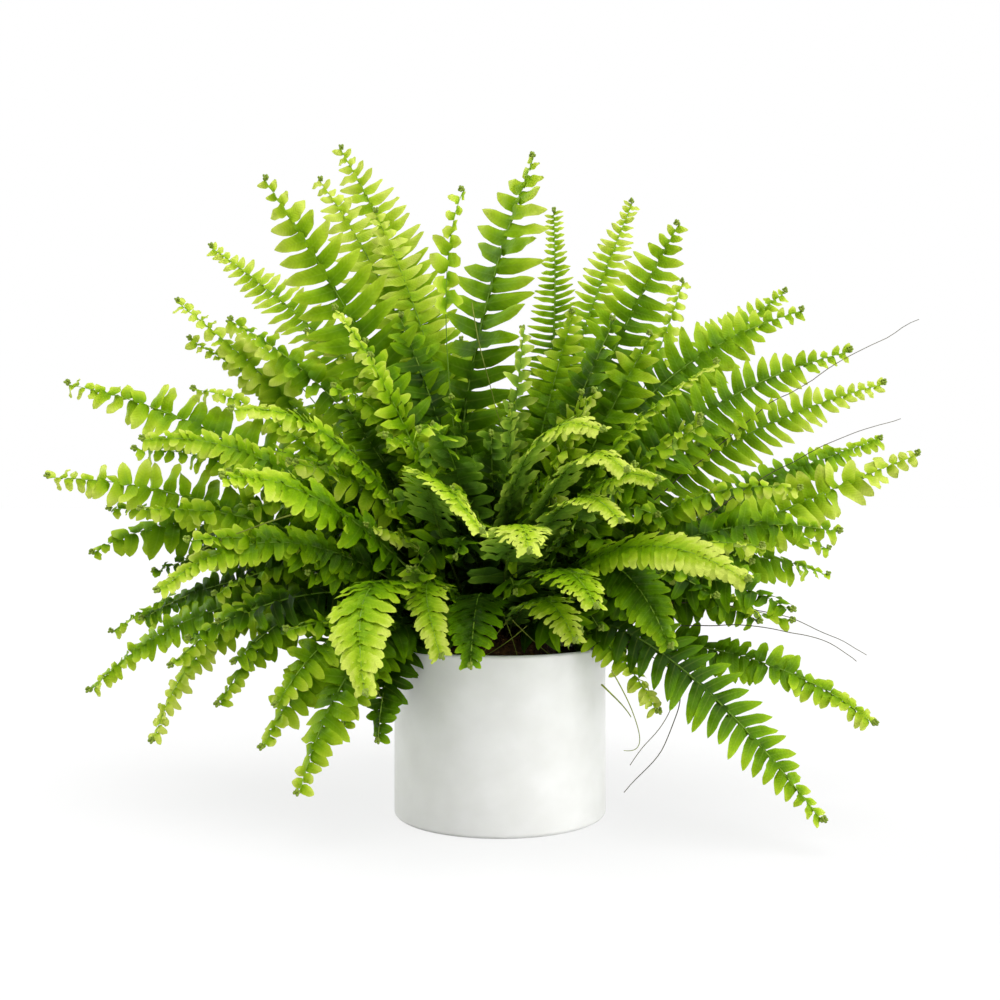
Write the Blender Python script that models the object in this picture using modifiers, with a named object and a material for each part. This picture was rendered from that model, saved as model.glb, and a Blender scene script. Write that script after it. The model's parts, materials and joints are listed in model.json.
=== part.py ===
"""Potted Boston fern in a plain white ceramic pot, in metres with +Z up.

The origin is the middle of the pot's flat underside, and the front is -Y. The pot, the soil, the
woody crown, every frond and every runner are objects of their own.
"""

import math
from typing import NamedTuple

import bmesh
import bpy
from mathutils import Quaternion, Vector
from mathutils.bvhtree import BVHTree
from mathutils.geometry import interpolate_bezier

COLLECTION = "potted_fern"
MM = 0.001

# The pot, in metres.
POT_RADIUS = 0.075
POT_HEIGHT = 0.120
POT_WALL = 0.005
POT_FLOOR = 0.009
FOOT_RADIUS = 0.003
POT_STEPS = 48
ARC_STEPS = 4

# What stands in it. Touching pieces keep GAP between them.
GAP = 0.0003
SOIL_BELOW_RIM = 0.008
SOIL_EDGE = 0.0015
CROWN_RADIUS = 0.044
CROWN_HEIGHT = 0.018
CROWN_PLACE = Vector((-0.004, 0.006, POT_HEIGHT - SOIL_BELOW_RIM + GAP))
CROWN_SEGMENTS = 24
CROWN_RINGS = 16

# A frond is a narrow rib with leaflets on both sides. Shares are of its length from the crown.
LEAF_THICKNESS = 0.0009
RIB_WIDTH = 0.0022
RIB_TIP_WIDTH = 0.0012
BARE_STEPS = 3
LEAFLET_PAIRS = 10
RIB_STEPS = BARE_STEPS + LEAFLET_PAIRS
BARE_SHARE = BARE_STEPS / RIB_STEPS
WIDEST_SHARE = 0.42
LEAFLET_LEAN = 0.20
LEAFLET_START = 0.35
LEAFLET_TAPER = 1.8
SEAT_SPREAD = 0.80
SEAT_LIFT = 0.0012
KNEE_PULL = 2 / 3

# A leaflet that would come closer than this to another piece is cut shorter, or left out.
LEAFLET_CLEARANCE = 0.0016
LEAFLET_CUTS = (1.0, 0.75, 0.5, 0.3)
SAMPLES_OUT = 14
SAMPLES_ALONG = 5

# A runner is a bare wiry stem.
RUNNER_RADIUS = 0.0006
RUNNER_STEPS = 16


class Frond(NamedTuple):
    """One frond. The lengths are in millimetres from the middle of the pot's underside.

    knee: the point that it leaves the crown towards, and that its tip points away from.
    tip: where its tip is.
    turn: how far its upper face is turned towards the front, in degrees.
    width: the length of its longest leaflets.
    tone: which of TONES it has.
    """

    knee: tuple
    tip: tuple
    turn: float
    width: float
    tone: str


class Runner(NamedTuple):
    """One runner, with its knee and its tip as a frond has them."""

    knee: tuple
    tip: tuple


# The colour, linear, and the roughness of each plain piece, then the colours of the leaves.
FINISHES = {
    "pot": ((0.80, 0.80, 0.79), 0.45),
    "soil": ((0.030, 0.015, 0.008), 0.95),
    "crown": ((0.060, 0.050, 0.015), 0.90),
    "runner": ((0.120, 0.130, 0.030), 0.60),
}
LEAF_ROUGHNESS = 0.55
TONES = {
    "deep": (0.030, 0.100, 0.008),
    "leaf": (0.085, 0.215, 0.012),
    "fresh": (0.200, 0.360, 0.025),
    "young": (0.360, 0.520, 0.070),
}

FRONDS = [
    # Tall fronds, from left to right.
    Frond((-56, 85, 304), (-238, 140, 430), 50, 22, "fresh"),
    Frond((-55, 32, 284), (-175, 40, 460), 85, 40, "leaf"),
    Frond((-40, 80, 355), (-130, 130, 508), 50, 28, "fresh"),
    Frond((-57, 5, 372), (-27, 10, 444), 30, 16, "fresh"),
    Frond((-57, 20, 258), (25, 40, 477), 15, 36, "leaf"),
    Frond((48, 60, 279), (43, 110, 452), 5, 30, "leaf"),
    Frond((36, 90, 290), (110, 150, 469), 30, 24, "fresh"),
    Frond((44, 20, 266), (131, 30, 424), 70, 28, "leaf"),
    Frond((108, 70, 281), (149, 130, 399), 40, 15, "fresh"),
    # Right side, from the top down.
    Frond((112, 102, 306), (235, 140, 393), 50, 24, "leaf"),
    Frond((74, 30, 321), (226, 50, 364), 70, 32, "leaf"),
    Frond((101, 10, 294), (254, 20, 330), 70, 28, "leaf"),
    Frond((117, 25, 266), (288, 50, 309), 65, 24, "fresh"),
    Frond((140, 75, 222), (310, 130, 271), 50, 28, "leaf"),
    Frond((171, 20, 204), (307, 30, 255), 70, 28, "fresh"),
    Frond((146, 60, 245), (256, 90, 184), 50, 30, "leaf"),
    Frond((180, -40, 134), (247, -60, 74), 40, 28, "leaf"),
    Frond((80, -60, 182), (200, -110, 23), 40, 32, "leaf"),
    # Front, from right to left.
    Frond((70, -100, 228), (145, -150, 175), 40, 26, "young"),
    Frond((61, -40, 270), (143, -60, 312), 20, 20, "young"),
    Frond((57, -70, 260), (96, -120, 234), 30, 28, "fresh"),
    Frond((66, -70, 235), (104, -120, 133), 30, 32, "deep"),
    Frond((66, -60, 155), (101, -80, 86), 20, 14, "fresh"),
    Frond((3, -60, 298), (62, -120, 265), 30, 32, "fresh"),
    Frond((38, -90, 260), (70, -160, 210), 10, 24, "fresh"),
    Frond((35, -100, 209), (55, -170, 161), 0, 28, "deep"),
    Frond((9, -120, 240), (16, -210, 194), 0, 22, "young"),
    Frond((-77, -90, 292), (-11, -190, 205), 30, 26, "young"),
    Frond((-14, -80, 196), (-18, -130, 122), 0, 28, "deep"),
    Frond((-64, -90, 209), (-36, -140, 129), 0, 20, "fresh"),
    Frond((-100, -130, 222), (-76, -190, 115), 0, 32, "young"),
    Frond((-76, -50, 157), (-80, -70, 66), 20, 24, "deep"),
    # Left side, from the bottom up.
    Frond((-91, -80, 170), (-125, -110, 41), 20, 28, "leaf"),
    Frond((-108, -50, 161), (-153, -80, 63), 30, 28, "leaf"),
    Frond((-199, -20, 194), (-238, -30, 58), 40, 24, "fresh"),
    Frond((-189, 0, 193), (-291, 0, 87), 50, 24, "leaf"),
    Frond((-204, 70, 190), (-310, 110, 117), 40, 26, "leaf"),
    Frond((-138, -70, 238), (-212, -110, 166), 40, 24, "young"),
    Frond((-206, 30, 244), (-302, 40, 183), 60, 30, "leaf"),
    Frond((-108, -100, 244), (-161, -160, 235), 50, 30, "young"),
    Frond((-178, 0, 236), (-321, 0, 238), 65, 26, "fresh"),
    Frond((-145, -30, 277), (-236, -60, 262), 50, 24, "young"),
    Frond((-157, 10, 276), (-314, 20, 306), 60, 28, "fresh"),
    Frond((-124, 60, 279), (-258, 110, 380), 50, 22, "fresh"),
    Frond((-87, 20, 295), (-200, 40, 355), 60, 24, "leaf"),
    # Back, from left to right.
    Frond((-90, 110, 320), (-190, 200, 300), 20, 30, "leaf"),
    Frond((-60, 150, 260), (-120, 250, 150), 0, 32, "leaf"),
    Frond((-15, 130, 330), (-30, 270, 270), 0, 30, "leaf"),
    Frond((0, 140, 200), (10, 210, 70), 0, 28, "deep"),
    Frond((60, 150, 270), (110, 250, 170), 0, 32, "leaf"),
    Frond((90, 110, 310), (180, 210, 280), 20, 28, "leaf"),
]

RUNNERS = [
    Runner((160, 15, 287), (305, 20, 354)),
    Runner((175, 20, 240), (293, 30, 285)),
    Runner((150, -30, 181), (253, -30, 115)),
    Runner((165, -45, 170), (246, -60, 121)),
    Runner((180, -60, 131), (82, -60, 28)),
    Runner((172, -75, 140), (83, -85, 50)),
]


def material(name, colour, roughness):
    """A Principled material of this linear colour."""
    made = bpy.data.materials.new(name)
    made.use_nodes = True
    shader = made.node_tree.nodes["Principled BSDF"]
    shader.inputs["Base Color"].default_value = (*colour, 1.0)
    shader.inputs["Roughness"].default_value = roughness
    shader.inputs["Metallic"].default_value = 0.0
    made.diffuse_color = (*colour, 1.0)
    return made


def add_object(collection, name, mesh, colour, roughness):
    """A mesh object in the collection, with a material of its own."""
    obj = bpy.data.objects.new(name, mesh)
    obj.data.materials.append(material(name + "_finish", colour, roughness))
    collection.objects.link(obj)
    return obj


def mesh_from(bm, name):
    """The bmesh as a smooth mesh, with its faces pointing outwards."""
    bmesh.ops.recalc_face_normals(bm, faces=bm.faces)
    mesh = bpy.data.meshes.new(name)
    bm.to_mesh(mesh)
    bm.free()
    mesh.shade_smooth()
    mesh.set_sharp_from_angle(angle=math.radians(40))
    return mesh


def arc(centre_x, centre_z, radius, start, end):
    """Points on a circle in the XZ plane, from one angle to another in degrees."""
    turns = [start + (end - start) * step / ARC_STEPS for step in range(ARC_STEPS + 1)]
    return [
        (
            centre_x + radius * math.cos(math.radians(turn)),
            centre_z + radius * math.sin(math.radians(turn)),
        )
        for turn in turns
    ]


def turned(collection, name, profile):
    """A body turned about Z from a profile that ends on the axis at both ends."""
    mesh = bpy.data.meshes.new(name)
    points = [(x, 0.0, z) for x, z in profile]
    mesh.from_pydata(points, [(i, i + 1) for i in range(len(points) - 1)], [])
    obj = add_object(collection, name, mesh, *FINISHES[name])
    screw = obj.modifiers.new("Turn", "SCREW")
    screw.steps = POT_STEPS
    screw.render_steps = POT_STEPS
    screw.use_merge_vertices = True
    screw.merge_threshold = 0.0001
    screw.use_smooth_shade = True
    return obj


def add_pot(collection):
    """The pot: flat inside and out, with a round lip and a softly rounded foot."""
    lip = POT_WALL / 2
    inner = POT_RADIUS - POT_WALL
    profile = [(0.0, POT_FLOOR)]
    profile += arc(inner - FOOT_RADIUS, POT_FLOOR + FOOT_RADIUS, FOOT_RADIUS, -90, 0)
    profile += arc(POT_RADIUS - lip, POT_HEIGHT - lip, lip, 180, 0)
    profile += arc(POT_RADIUS - FOOT_RADIUS, FOOT_RADIUS, FOOT_RADIUS, 0, -90)
    profile.append((0.0, 0.0))
    return turned(collection, "pot", profile)


def add_soil(collection):
    """The soil plug, which fills the pot to a little below its lip."""
    radius = POT_RADIUS - POT_WALL - GAP
    top = POT_HEIGHT - SOIL_BELOW_RIM
    base = POT_FLOOR + GAP
    profile = [(0.0, top)]
    profile += arc(radius - SOIL_EDGE, top - SOIL_EDGE, SOIL_EDGE, 90, 0)
    profile += arc(radius - FOOT_RADIUS, base + FOOT_RADIUS, FOOT_RADIUS, 0, -90)
    profile.append((0.0, base))
    return turned(collection, "soil", profile)


def add_crown(collection):
    """The woody crown: a low dome with a flat underside."""
    bm = bmesh.new()
    bmesh.ops.create_uvsphere(
        bm, u_segments=CROWN_SEGMENTS, v_segments=CROWN_RINGS, radius=1.0
    )
    bmesh.ops.scale(bm, vec=(CROWN_RADIUS, CROWN_RADIUS, CROWN_HEIGHT), verts=bm.verts)
    bmesh.ops.bisect_plane(
        bm,
        geom=bm.verts[:] + bm.edges[:] + bm.faces[:],
        plane_co=(0, 0, 0),
        plane_no=(0, 0, 1),
        clear_inner=True,
    )
    bmesh.ops.holes_fill(bm, edges=[edge for edge in bm.edges if edge.is_boundary])
    obj = add_object(collection, "crown", mesh_from(bm, "crown"), *FINISHES["crown"])
    obj.location = CROWN_PLACE
    return obj


def seat(knee):
    """Where on the crown a frond or runner starts: on the side that its knee is on."""
    out = knee - CROWN_PLACE
    level = out.xy.length
    reach = SEAT_SPREAD * CROWN_RADIUS * level / out.length
    height = CROWN_HEIGHT * math.sqrt(1.0 - (reach / CROWN_RADIUS) ** 2)
    side = out.xy / level * reach
    return CROWN_PLACE + Vector((side.x, side.y, height + SEAT_LIFT))


def path(knee, tip, steps):
    """Points along a stem, from its seat on the crown to its tip."""
    knee = Vector(knee) * MM
    tip = Vector(tip) * MM
    start = seat(knee)
    handle_in = start.lerp(knee, KNEE_PULL)
    handle_out = tip.lerp(knee, KNEE_PULL)
    return interpolate_bezier(start, handle_in, handle_out, tip, steps + 1)


def rib_sides(frond, points):
    """At each point of the rib, the direction that its left leaflets point in."""
    out = points[-1] - points[0]
    level = Vector((-out.y, out.x, 0.0)).normalized()
    turn = math.radians(frond.turn if frond.tip[0] >= 0 else -frond.turn)
    sides = []
    for index in range(len(points)):
        before = points[max(index - 1, 0)]
        after = points[min(index + 1, len(points) - 1)]
        along = (after - before).normalized()
        side = (level - along * level.dot(along)).normalized()
        sides.append(Quaternion(along, turn) @ side)
    return sides


def leaflet_share(share):
    """The length of the leaflets at this share of the rib, as a share of the longest."""
    if share < WIDEST_SHARE:
        grown = (share - BARE_SHARE) / (WIDEST_SHARE - BARE_SHARE)
        start = LEAFLET_START * math.sqrt(grown)
        return start + (1.0 - LEAFLET_START) * math.sin(grown * math.pi / 2)
    return 1.0 - ((share - WIDEST_SHARE) / (1.0 - WIDEST_SHARE)) ** LEAFLET_TAPER


class Room:
    """Which piece is where, as flat faces that each remember their piece."""

    def __init__(self):
        self.points = []
        self.faces = []
        self.owners = []
        self.tree = None

    def add(self, owner, corners):
        """Takes in one face of a piece."""
        first = len(self.points)
        self.points.extend(corners)
        self.faces.append(tuple(range(first, first + len(corners))))
        self.owners.append(owner)

    def settle(self):
        """Makes what has been added count."""
        self.tree = BVHTree.FromPolygons(self.points, self.faces) if self.faces else None

    def takes(self, owner, leaflet):
        """Whether this leaflet keeps its clearance from every other piece."""
        if self.tree is None:
            return True
        alone = BVHTree.FromPolygons(leaflet, [(0, 1, 2)])
        if any(self.owners[hit] != owner for _, hit in alone.overlap(self.tree)):
            return False
        near, far, end = leaflet
        for out in range(1, SAMPLES_OUT + 1):
            for across in range(SAMPLES_ALONG + 1):
                base = near.lerp(far, across / SAMPLES_ALONG)
                point = base.lerp(end, out / SAMPLES_OUT)
                hits = self.tree.find_nearest_range(point, LEAFLET_CLEARANCE)
                if any(self.owners[hit[2]] != owner for hit in hits):
                    return False
        return True


class Blade:
    """The open surface of one frond: the rib, and leaflets that share the rib's edge points."""

    def __init__(self, name, frond):
        self.name = name
        self.frond = frond
        self.middle = path(frond.knee, frond.tip, RIB_STEPS)
        self.sides = rib_sides(frond, self.middle)
        self.edges = {1: self.rib_edge(1), -1: self.rib_edge(-1)}
        self.leaflets = []

    def rib_edge(self, hand):
        """One edge of the rib: hand is 1 for the left, -1 for the right."""
        edge = []
        for index, (point, side) in enumerate(zip(self.middle, self.sides)):
            share = index / RIB_STEPS
            width = RIB_WIDTH + (RIB_TIP_WIDTH - RIB_WIDTH) * share
            edge.append(point + side * hand * width / 2)
        return edge

    def mark_rib(self, room):
        """Adds the rib to the room that is taken."""
        left, right = self.edges[1], self.edges[-1]
        for i in range(RIB_STEPS):
            room.add(self.name, [left[i], left[i + 1], right[i + 1], right[i]])

    def leaflet(self, index, hand, cut):
        """The corners of the leaflet beside this step of the rib."""
        near = self.edges[hand][index]
        far = self.edges[hand][index + 1]
        reach = self.frond.width * MM * leaflet_share((index + 0.5) / RIB_STEPS) * cut
        along = (self.middle[index + 1] - self.middle[index]).normalized()
        out = self.sides[index].lerp(self.sides[index + 1], 0.5).normalized() * hand
        end = near.lerp(far, 0.5) + (out + along * LEAFLET_LEAN) * reach
        return [near, far, end]

    def grow(self, ribs, leaves):
        """Gives each step beyond the bare stalk a leaflet on either side, where one fits."""
        for index in range(BARE_STEPS, RIB_STEPS):
            for hand in (1, -1):
                for cut in LEAFLET_CUTS:
                    corners = self.leaflet(index, hand, cut)
                    if ribs.takes(self.name, corners) and leaves.takes(self.name, corners):
                        self.leaflets.append((index, hand, corners[2]))
                        leaves.add(self.name, corners)
                        break
        leaves.settle()

    def surface(self):
        """The surface as a mesh."""
        bm = bmesh.new()
        verts = {
            hand: [bm.verts.new(point) for point in edge]
            for hand, edge in self.edges.items()
        }
        left, right = verts[1], verts[-1]
        for i in range(RIB_STEPS):
            bm.faces.new((left[i], right[i], right[i + 1], left[i + 1]))
        for index, hand, end in self.leaflets:
            corners = [verts[hand][index], verts[hand][index + 1], bm.verts.new(end)]
            bm.faces.new(corners if hand == 1 else corners[::-1])
        bmesh.ops.recalc_face_normals(bm, faces=bm.faces)
        mesh = bpy.data.meshes.new(self.name)
        bm.to_mesh(mesh)
        bm.free()
        return mesh


def mark_object(room, obj):
    """Adds the faces of a finished object to the room that is taken."""
    bpy.context.view_layer.update()
    evaluated = obj.evaluated_get(bpy.context.evaluated_depsgraph_get())
    mesh = evaluated.to_mesh()
    for face in mesh.polygons:
        corners = [obj.matrix_world @ mesh.vertices[i].co for i in face.vertices]
        room.add(obj.name, corners)
    evaluated.to_mesh_clear()


def add_runner(collection, name, runner):
    """A bare stem: a wire along its path."""
    curve = bpy.data.curves.new(name, "CURVE")
    curve.dimensions = "3D"
    curve.bevel_depth = RUNNER_RADIUS
    curve.bevel_resolution = 2
    curve.use_fill_caps = True
    spline = curve.splines.new("POLY")
    points = path(runner.knee, runner.tip, RUNNER_STEPS)
    spline.points.add(len(points) - 1)
    for place, point in zip(spline.points, points):
        place.co = (*point, 1.0)
    add_object(collection, name, curve, *FINISHES["runner"])
    return points


def mark_runner(room, name, points):
    """Adds a runner to the room that is taken, as two crossed ribbons."""
    for across in (Vector((0, 0, 1)), Vector((0, 1, 0)), Vector((1, 0, 0))):
        edge = across * RUNNER_RADIUS
        for one, two in zip(points, points[1:]):
            room.add(name, [one - edge, two - edge, two + edge, one + edge])


def add_fronds(collection, fixed):
    """Every frond, each with its leaflets clear of the others."""
    blades = [Blade(f"frond_{i:02d}", frond) for i, frond in enumerate(FRONDS, 1)]
    for blade in blades:
        blade.mark_rib(fixed)
    fixed.settle()
    leaves = Room()
    for blade in blades:
        blade.grow(fixed, leaves)
        colour = TONES[blade.frond.tone]
        obj = add_object(collection, blade.name, blade.surface(), colour, LEAF_ROUGHNESS)
        shell = obj.modifiers.new("Thickness", "SOLIDIFY")
        shell.thickness = LEAF_THICKNESS
        shell.offset = 0.0


def main():
    """Clears the scene and builds the potted fern."""
    for obj in list(bpy.data.objects):
        bpy.data.objects.remove(obj)
    collection = bpy.data.collections.new(COLLECTION)
    bpy.context.scene.collection.children.link(collection)

    fixed = Room()
    for obj in (add_pot(collection), add_soil(collection), add_crown(collection)):
        mark_object(fixed, obj)
    for number, runner in enumerate(RUNNERS, 1):
        name = f"runner_{number}"
        mark_runner(fixed, name, add_runner(collection, name, runner))
    add_fronds(collection, fixed)


if __name__ == "__main__":
    main()
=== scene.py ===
"""Looks of the potted Boston fern: its leaves, soil and ceramic pot, with the studio round them.

Lengths are in metres unless a name says millimetres. The front of the plant faces -Y.
"""

from __future__ import annotations

import json
import logging
import math
import random
from dataclasses import dataclass
from enum import Enum
from typing import Any, ClassVar, Iterable, Sequence

import bmesh
import bpy
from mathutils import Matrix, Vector, noise

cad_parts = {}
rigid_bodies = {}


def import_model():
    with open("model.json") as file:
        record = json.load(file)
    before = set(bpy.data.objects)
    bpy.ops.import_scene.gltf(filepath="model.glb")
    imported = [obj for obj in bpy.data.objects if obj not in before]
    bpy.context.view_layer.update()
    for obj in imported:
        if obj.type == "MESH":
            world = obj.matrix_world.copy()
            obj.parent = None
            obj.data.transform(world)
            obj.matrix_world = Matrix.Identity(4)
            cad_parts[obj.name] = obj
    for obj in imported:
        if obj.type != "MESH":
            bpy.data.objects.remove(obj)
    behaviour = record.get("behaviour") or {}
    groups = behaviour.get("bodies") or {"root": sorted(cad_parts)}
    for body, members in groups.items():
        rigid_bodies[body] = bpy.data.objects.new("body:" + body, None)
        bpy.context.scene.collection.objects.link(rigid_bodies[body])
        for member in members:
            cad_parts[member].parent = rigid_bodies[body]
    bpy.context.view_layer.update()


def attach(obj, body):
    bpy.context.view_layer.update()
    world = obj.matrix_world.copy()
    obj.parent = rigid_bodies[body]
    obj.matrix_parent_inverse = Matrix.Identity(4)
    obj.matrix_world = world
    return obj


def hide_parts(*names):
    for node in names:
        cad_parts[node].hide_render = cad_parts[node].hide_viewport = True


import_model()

LOG = logging.getLogger("potted_fern")
MM = 0.001
BODY = "root"

MATH = "ShaderNodeMath"
VECTOR = "ShaderNodeVectorMath"
RANGE = "ShaderNodeMapRange"
MIX = "ShaderNodeMix"
NOISE = "ShaderNodeTexNoise"
BUMP = "ShaderNodeBump"
ATTRIBUTE = "ShaderNodeAttribute"
STORE = "GeometryNodeStoreNamedAttribute"
RANDOM = "FunctionNodeRandomValue"
WHITE = (1.0, 1.0, 1.0, 1.0)
# The sockets of a Mix node that mixes colours.
MIX_FACTOR, MIX_A, MIX_B = 0, 6, 7
# How many leaflets of each kind there are to choose from.
VARIANTS = 5
# What the inner fronds' seeds start from, so that they differ from the outer ones.
INNER_SEED = 1000


def linear(code: str) -> tuple[float, float, float, float]:
    """Turns an sRGB hex colour into linear light.

    Args:
        code: six hex digits.

    Returns:
        Red, green, blue and an alpha of one.
    """
    parts = [int(code[i : i + 2], 16) / 255 for i in (0, 2, 4)]
    bent = [p / 12.92 if p <= 0.04045 else ((p + 0.055) / 1.055) ** 2.4 for p in parts]
    return (bent[0], bent[1], bent[2], 1.0)


def feed(tree: bpy.types.NodeTree, node: Any, inputs: Any) -> None:
    """Sets and links a node's inputs.

    Args:
        tree: the tree that the node is in.
        node: the node.
        inputs: a dict from socket name or number, or a sequence in socket order. A socket, a
            node (for its first output in use) or a list of them is linked, None leaves the
            default, and anything else becomes the value.
    """
    for key, value in inputs.items() if isinstance(inputs, dict) else enumerate(inputs):
        for source in value if isinstance(value, list) else [value]:
            if isinstance(source, bpy.types.Node):
                source = next(out for out in source.outputs if out.enabled)
            if isinstance(source, bpy.types.NodeSocket):
                tree.links.new(source, node.inputs[key])
            elif source is not None:
                node.inputs[key].default_value = source


def add_node(tree: bpy.types.NodeTree, kind: str, inputs: Any = (), **settings: Any) -> Any:
    """Adds a node to a tree.

    Args:
        tree: the tree that it joins.
        kind: the node's type name.
        inputs: its values and links, as feed takes them.
        settings: the node's properties.

    Returns:
        The node.
    """
    node = tree.nodes.new(kind)
    for name, value in settings.items():
        setattr(node, name, value)
    feed(tree, node, inputs)
    return node


def set_ramp(node: Any, stops: Sequence[tuple[float, str]]) -> None:
    """Sets the stops of a colour ramp node.

    Args:
        node: the colour ramp.
        stops: the position and the sRGB hex colour of each stop, in order.
    """
    ramp = node.color_ramp
    while len(ramp.elements) < len(stops):
        ramp.elements.new(0.5)
    for element, (place, code) in zip(ramp.elements, stops):
        element.position = place
        element.color = linear(code)


def new_material(name: str) -> tuple[bpy.types.Material, bpy.types.NodeTree, Any, Any]:
    """A material with only a Principled shader.

    Args:
        name: the material's name.

    Returns:
        The material, its tree, its Principled node and its output node.
    """
    material = bpy.data.materials.new(name)
    material.use_nodes = True
    tree = material.node_tree
    return material, tree, tree.nodes["Principled BSDF"], tree.nodes["Material Output"]


def add_object(name: str, mesh: bpy.types.Mesh) -> bpy.types.Object:
    """Links a mesh into the scene as an object at the origin."""
    obj = bpy.data.objects.new(name, mesh)
    bpy.context.scene.collection.objects.link(obj)
    return obj


def mesh_from(bm: bmesh.types.BMesh, name: str) -> bpy.types.Mesh:
    """Turns a bmesh into a smooth mesh and frees it.

    Args:
        bm: the bmesh.
        name: the mesh's name.

    Returns:
        The mesh.
    """
    for face in bm.faces:
        face.smooth = True
    mesh = bpy.data.meshes.new(name)
    bm.to_mesh(mesh)
    bm.free()
    return mesh


def store(mesh: bpy.types.Mesh, name: str, values: Sequence[float], domain: str = "POINT") -> None:
    """Stores a number on each point or face of a mesh.

    Args:
        mesh: the mesh.
        name: the attribute's name.
        values: one number for each point or face.
        domain: POINT or FACE.
    """
    mesh.attributes.new(name, "FLOAT", domain).data.foreach_set("value", values)


def turned(
    name: str, profile: Sequence[tuple[float, float]], steps: int, centre: Vector = Vector()
) -> bpy.types.Mesh:
    """A closed body turned about a vertical axis.

    Args:
        name: the mesh's name.
        profile: radius and height of each ring, from pole to pole; both ends are on the axis.
        steps: the number of points round each ring.
        centre: where the axis meets height zero.

    Returns:
        The mesh, with its faces outwards.
    """
    bm = bmesh.new()
    rings = []
    for radius, height in profile:
        if radius < 1e-9:
            rings.append([bm.verts.new(centre + Vector((0, 0, height)))] * steps)
            continue
        angles = [math.tau * step / steps for step in range(steps)]
        rings.append(
            [
                bm.verts.new(centre + Vector((radius * math.cos(a), radius * math.sin(a), height)))
                for a in angles
            ]
        )
    for low, high in zip(rings, rings[1:]):
        for i in range(steps):
            j = (i + 1) % steps
            corners = list(dict.fromkeys((low[i], low[j], high[j], high[i])))
            bm.faces.new(corners)
    bmesh.ops.recalc_face_normals(bm, faces=bm.faces)
    return mesh_from(bm, name)


def arc(
    centre: tuple[float, float], radius: float, start: float, end: float, steps: int
) -> list[tuple[float, float]]:
    """Points on a circle in a profile.

    Args:
        centre: its middle, as radius and height.
        radius: its radius.
        start: the first angle, in degrees.
        end: the last angle, in degrees.
        steps: how many steps there are between them.

    Returns:
        The points.
    """
    turns = [math.radians(start + (end - start) * step / steps) for step in range(steps + 1)]
    return [(centre[0] + radius * math.cos(t), centre[1] + radius * math.sin(t)) for t in turns]


def finish_piece(obj: bpy.types.Object, slot: str, *nodes: str) -> None:
    """Puts a finished piece on the plant's body.

    Args:
        obj: the piece.
        slot: the record's material slot that it belongs to; not used.
        nodes: the CAD nodes that it stands for.
    """
    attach(obj, BODY)
    if nodes:
        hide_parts(*nodes)
    LOG.info("%s: %d faces", obj.name, len(obj.data.polygons))


class NodeShape:
    """A Geometry Nodes tree with named inputs, and the plain meshes that are grown from it."""

    def __init__(self, name: str, inputs: dict[str, str]) -> None:
        """Starts an empty tree.

        Args:
            name: the tree's name.
            inputs: the socket type of each named input, such as Float or Vector.
        """
        self.tree = bpy.data.node_groups.new(name, "GeometryNodeTree")
        face = self.tree.interface
        self.sockets = {
            label: face.new_socket(name=label, in_out="INPUT", socket_type="NodeSocket" + kind)
            for label, kind in inputs.items()
        }
        face.new_socket(name="Geometry", in_out="OUTPUT", socket_type="NodeSocketGeometry")
        self.given = add_node(self.tree, "NodeGroupInput").outputs

    def add(self, kind: str, inputs: Any = (), **settings: Any) -> Any:
        """Adds a node to this tree, as add_node does."""
        return add_node(self.tree, kind, inputs, **settings)

    def end(self, parts: Any, *materials: tuple[Any, Any]) -> None:
        """Ends the tree in Realize Instances and Set Material.

        Args:
            parts: the geometry.
            materials: a material socket and a selection socket or None, for each finish.
        """
        last = self.add("GeometryNodeRealizeInstances", (parts,))
        for material, chosen in materials:
            last = self.add("GeometryNodeSetMaterial", (last, chosen, material))
        self.add("NodeGroupOutput", (last,))

    def plant(self, name: str, values: dict[str, Any]) -> bpy.types.Object:
        """Adds an object that this tree shapes.

        Args:
            name: the object's name.
            values: the value of each named input.

        Returns:
            The object, with its modifier live.
        """
        obj = add_object(name, bpy.data.meshes.new(name))
        modifier = obj.modifiers.new(self.tree.name, "NODES")
        modifier.node_group = self.tree
        for label, value in values.items():
            modifier[self.sockets[label].identifier] = value
        return obj


def settle(objects: Iterable[bpy.types.Object]) -> None:
    """Turns objects with live modifiers into plain meshes."""
    objects = list(objects)
    graph = bpy.context.evaluated_depsgraph_get()
    meshes = [bpy.data.meshes.new_from_object(obj.evaluated_get(graph)) for obj in objects]
    for obj, mesh in zip(objects, meshes):
        obj.modifiers.clear()
        old, obj.data = obj.data, mesh
        bpy.data.meshes.remove(old)
        mesh.name = obj.name


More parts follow.
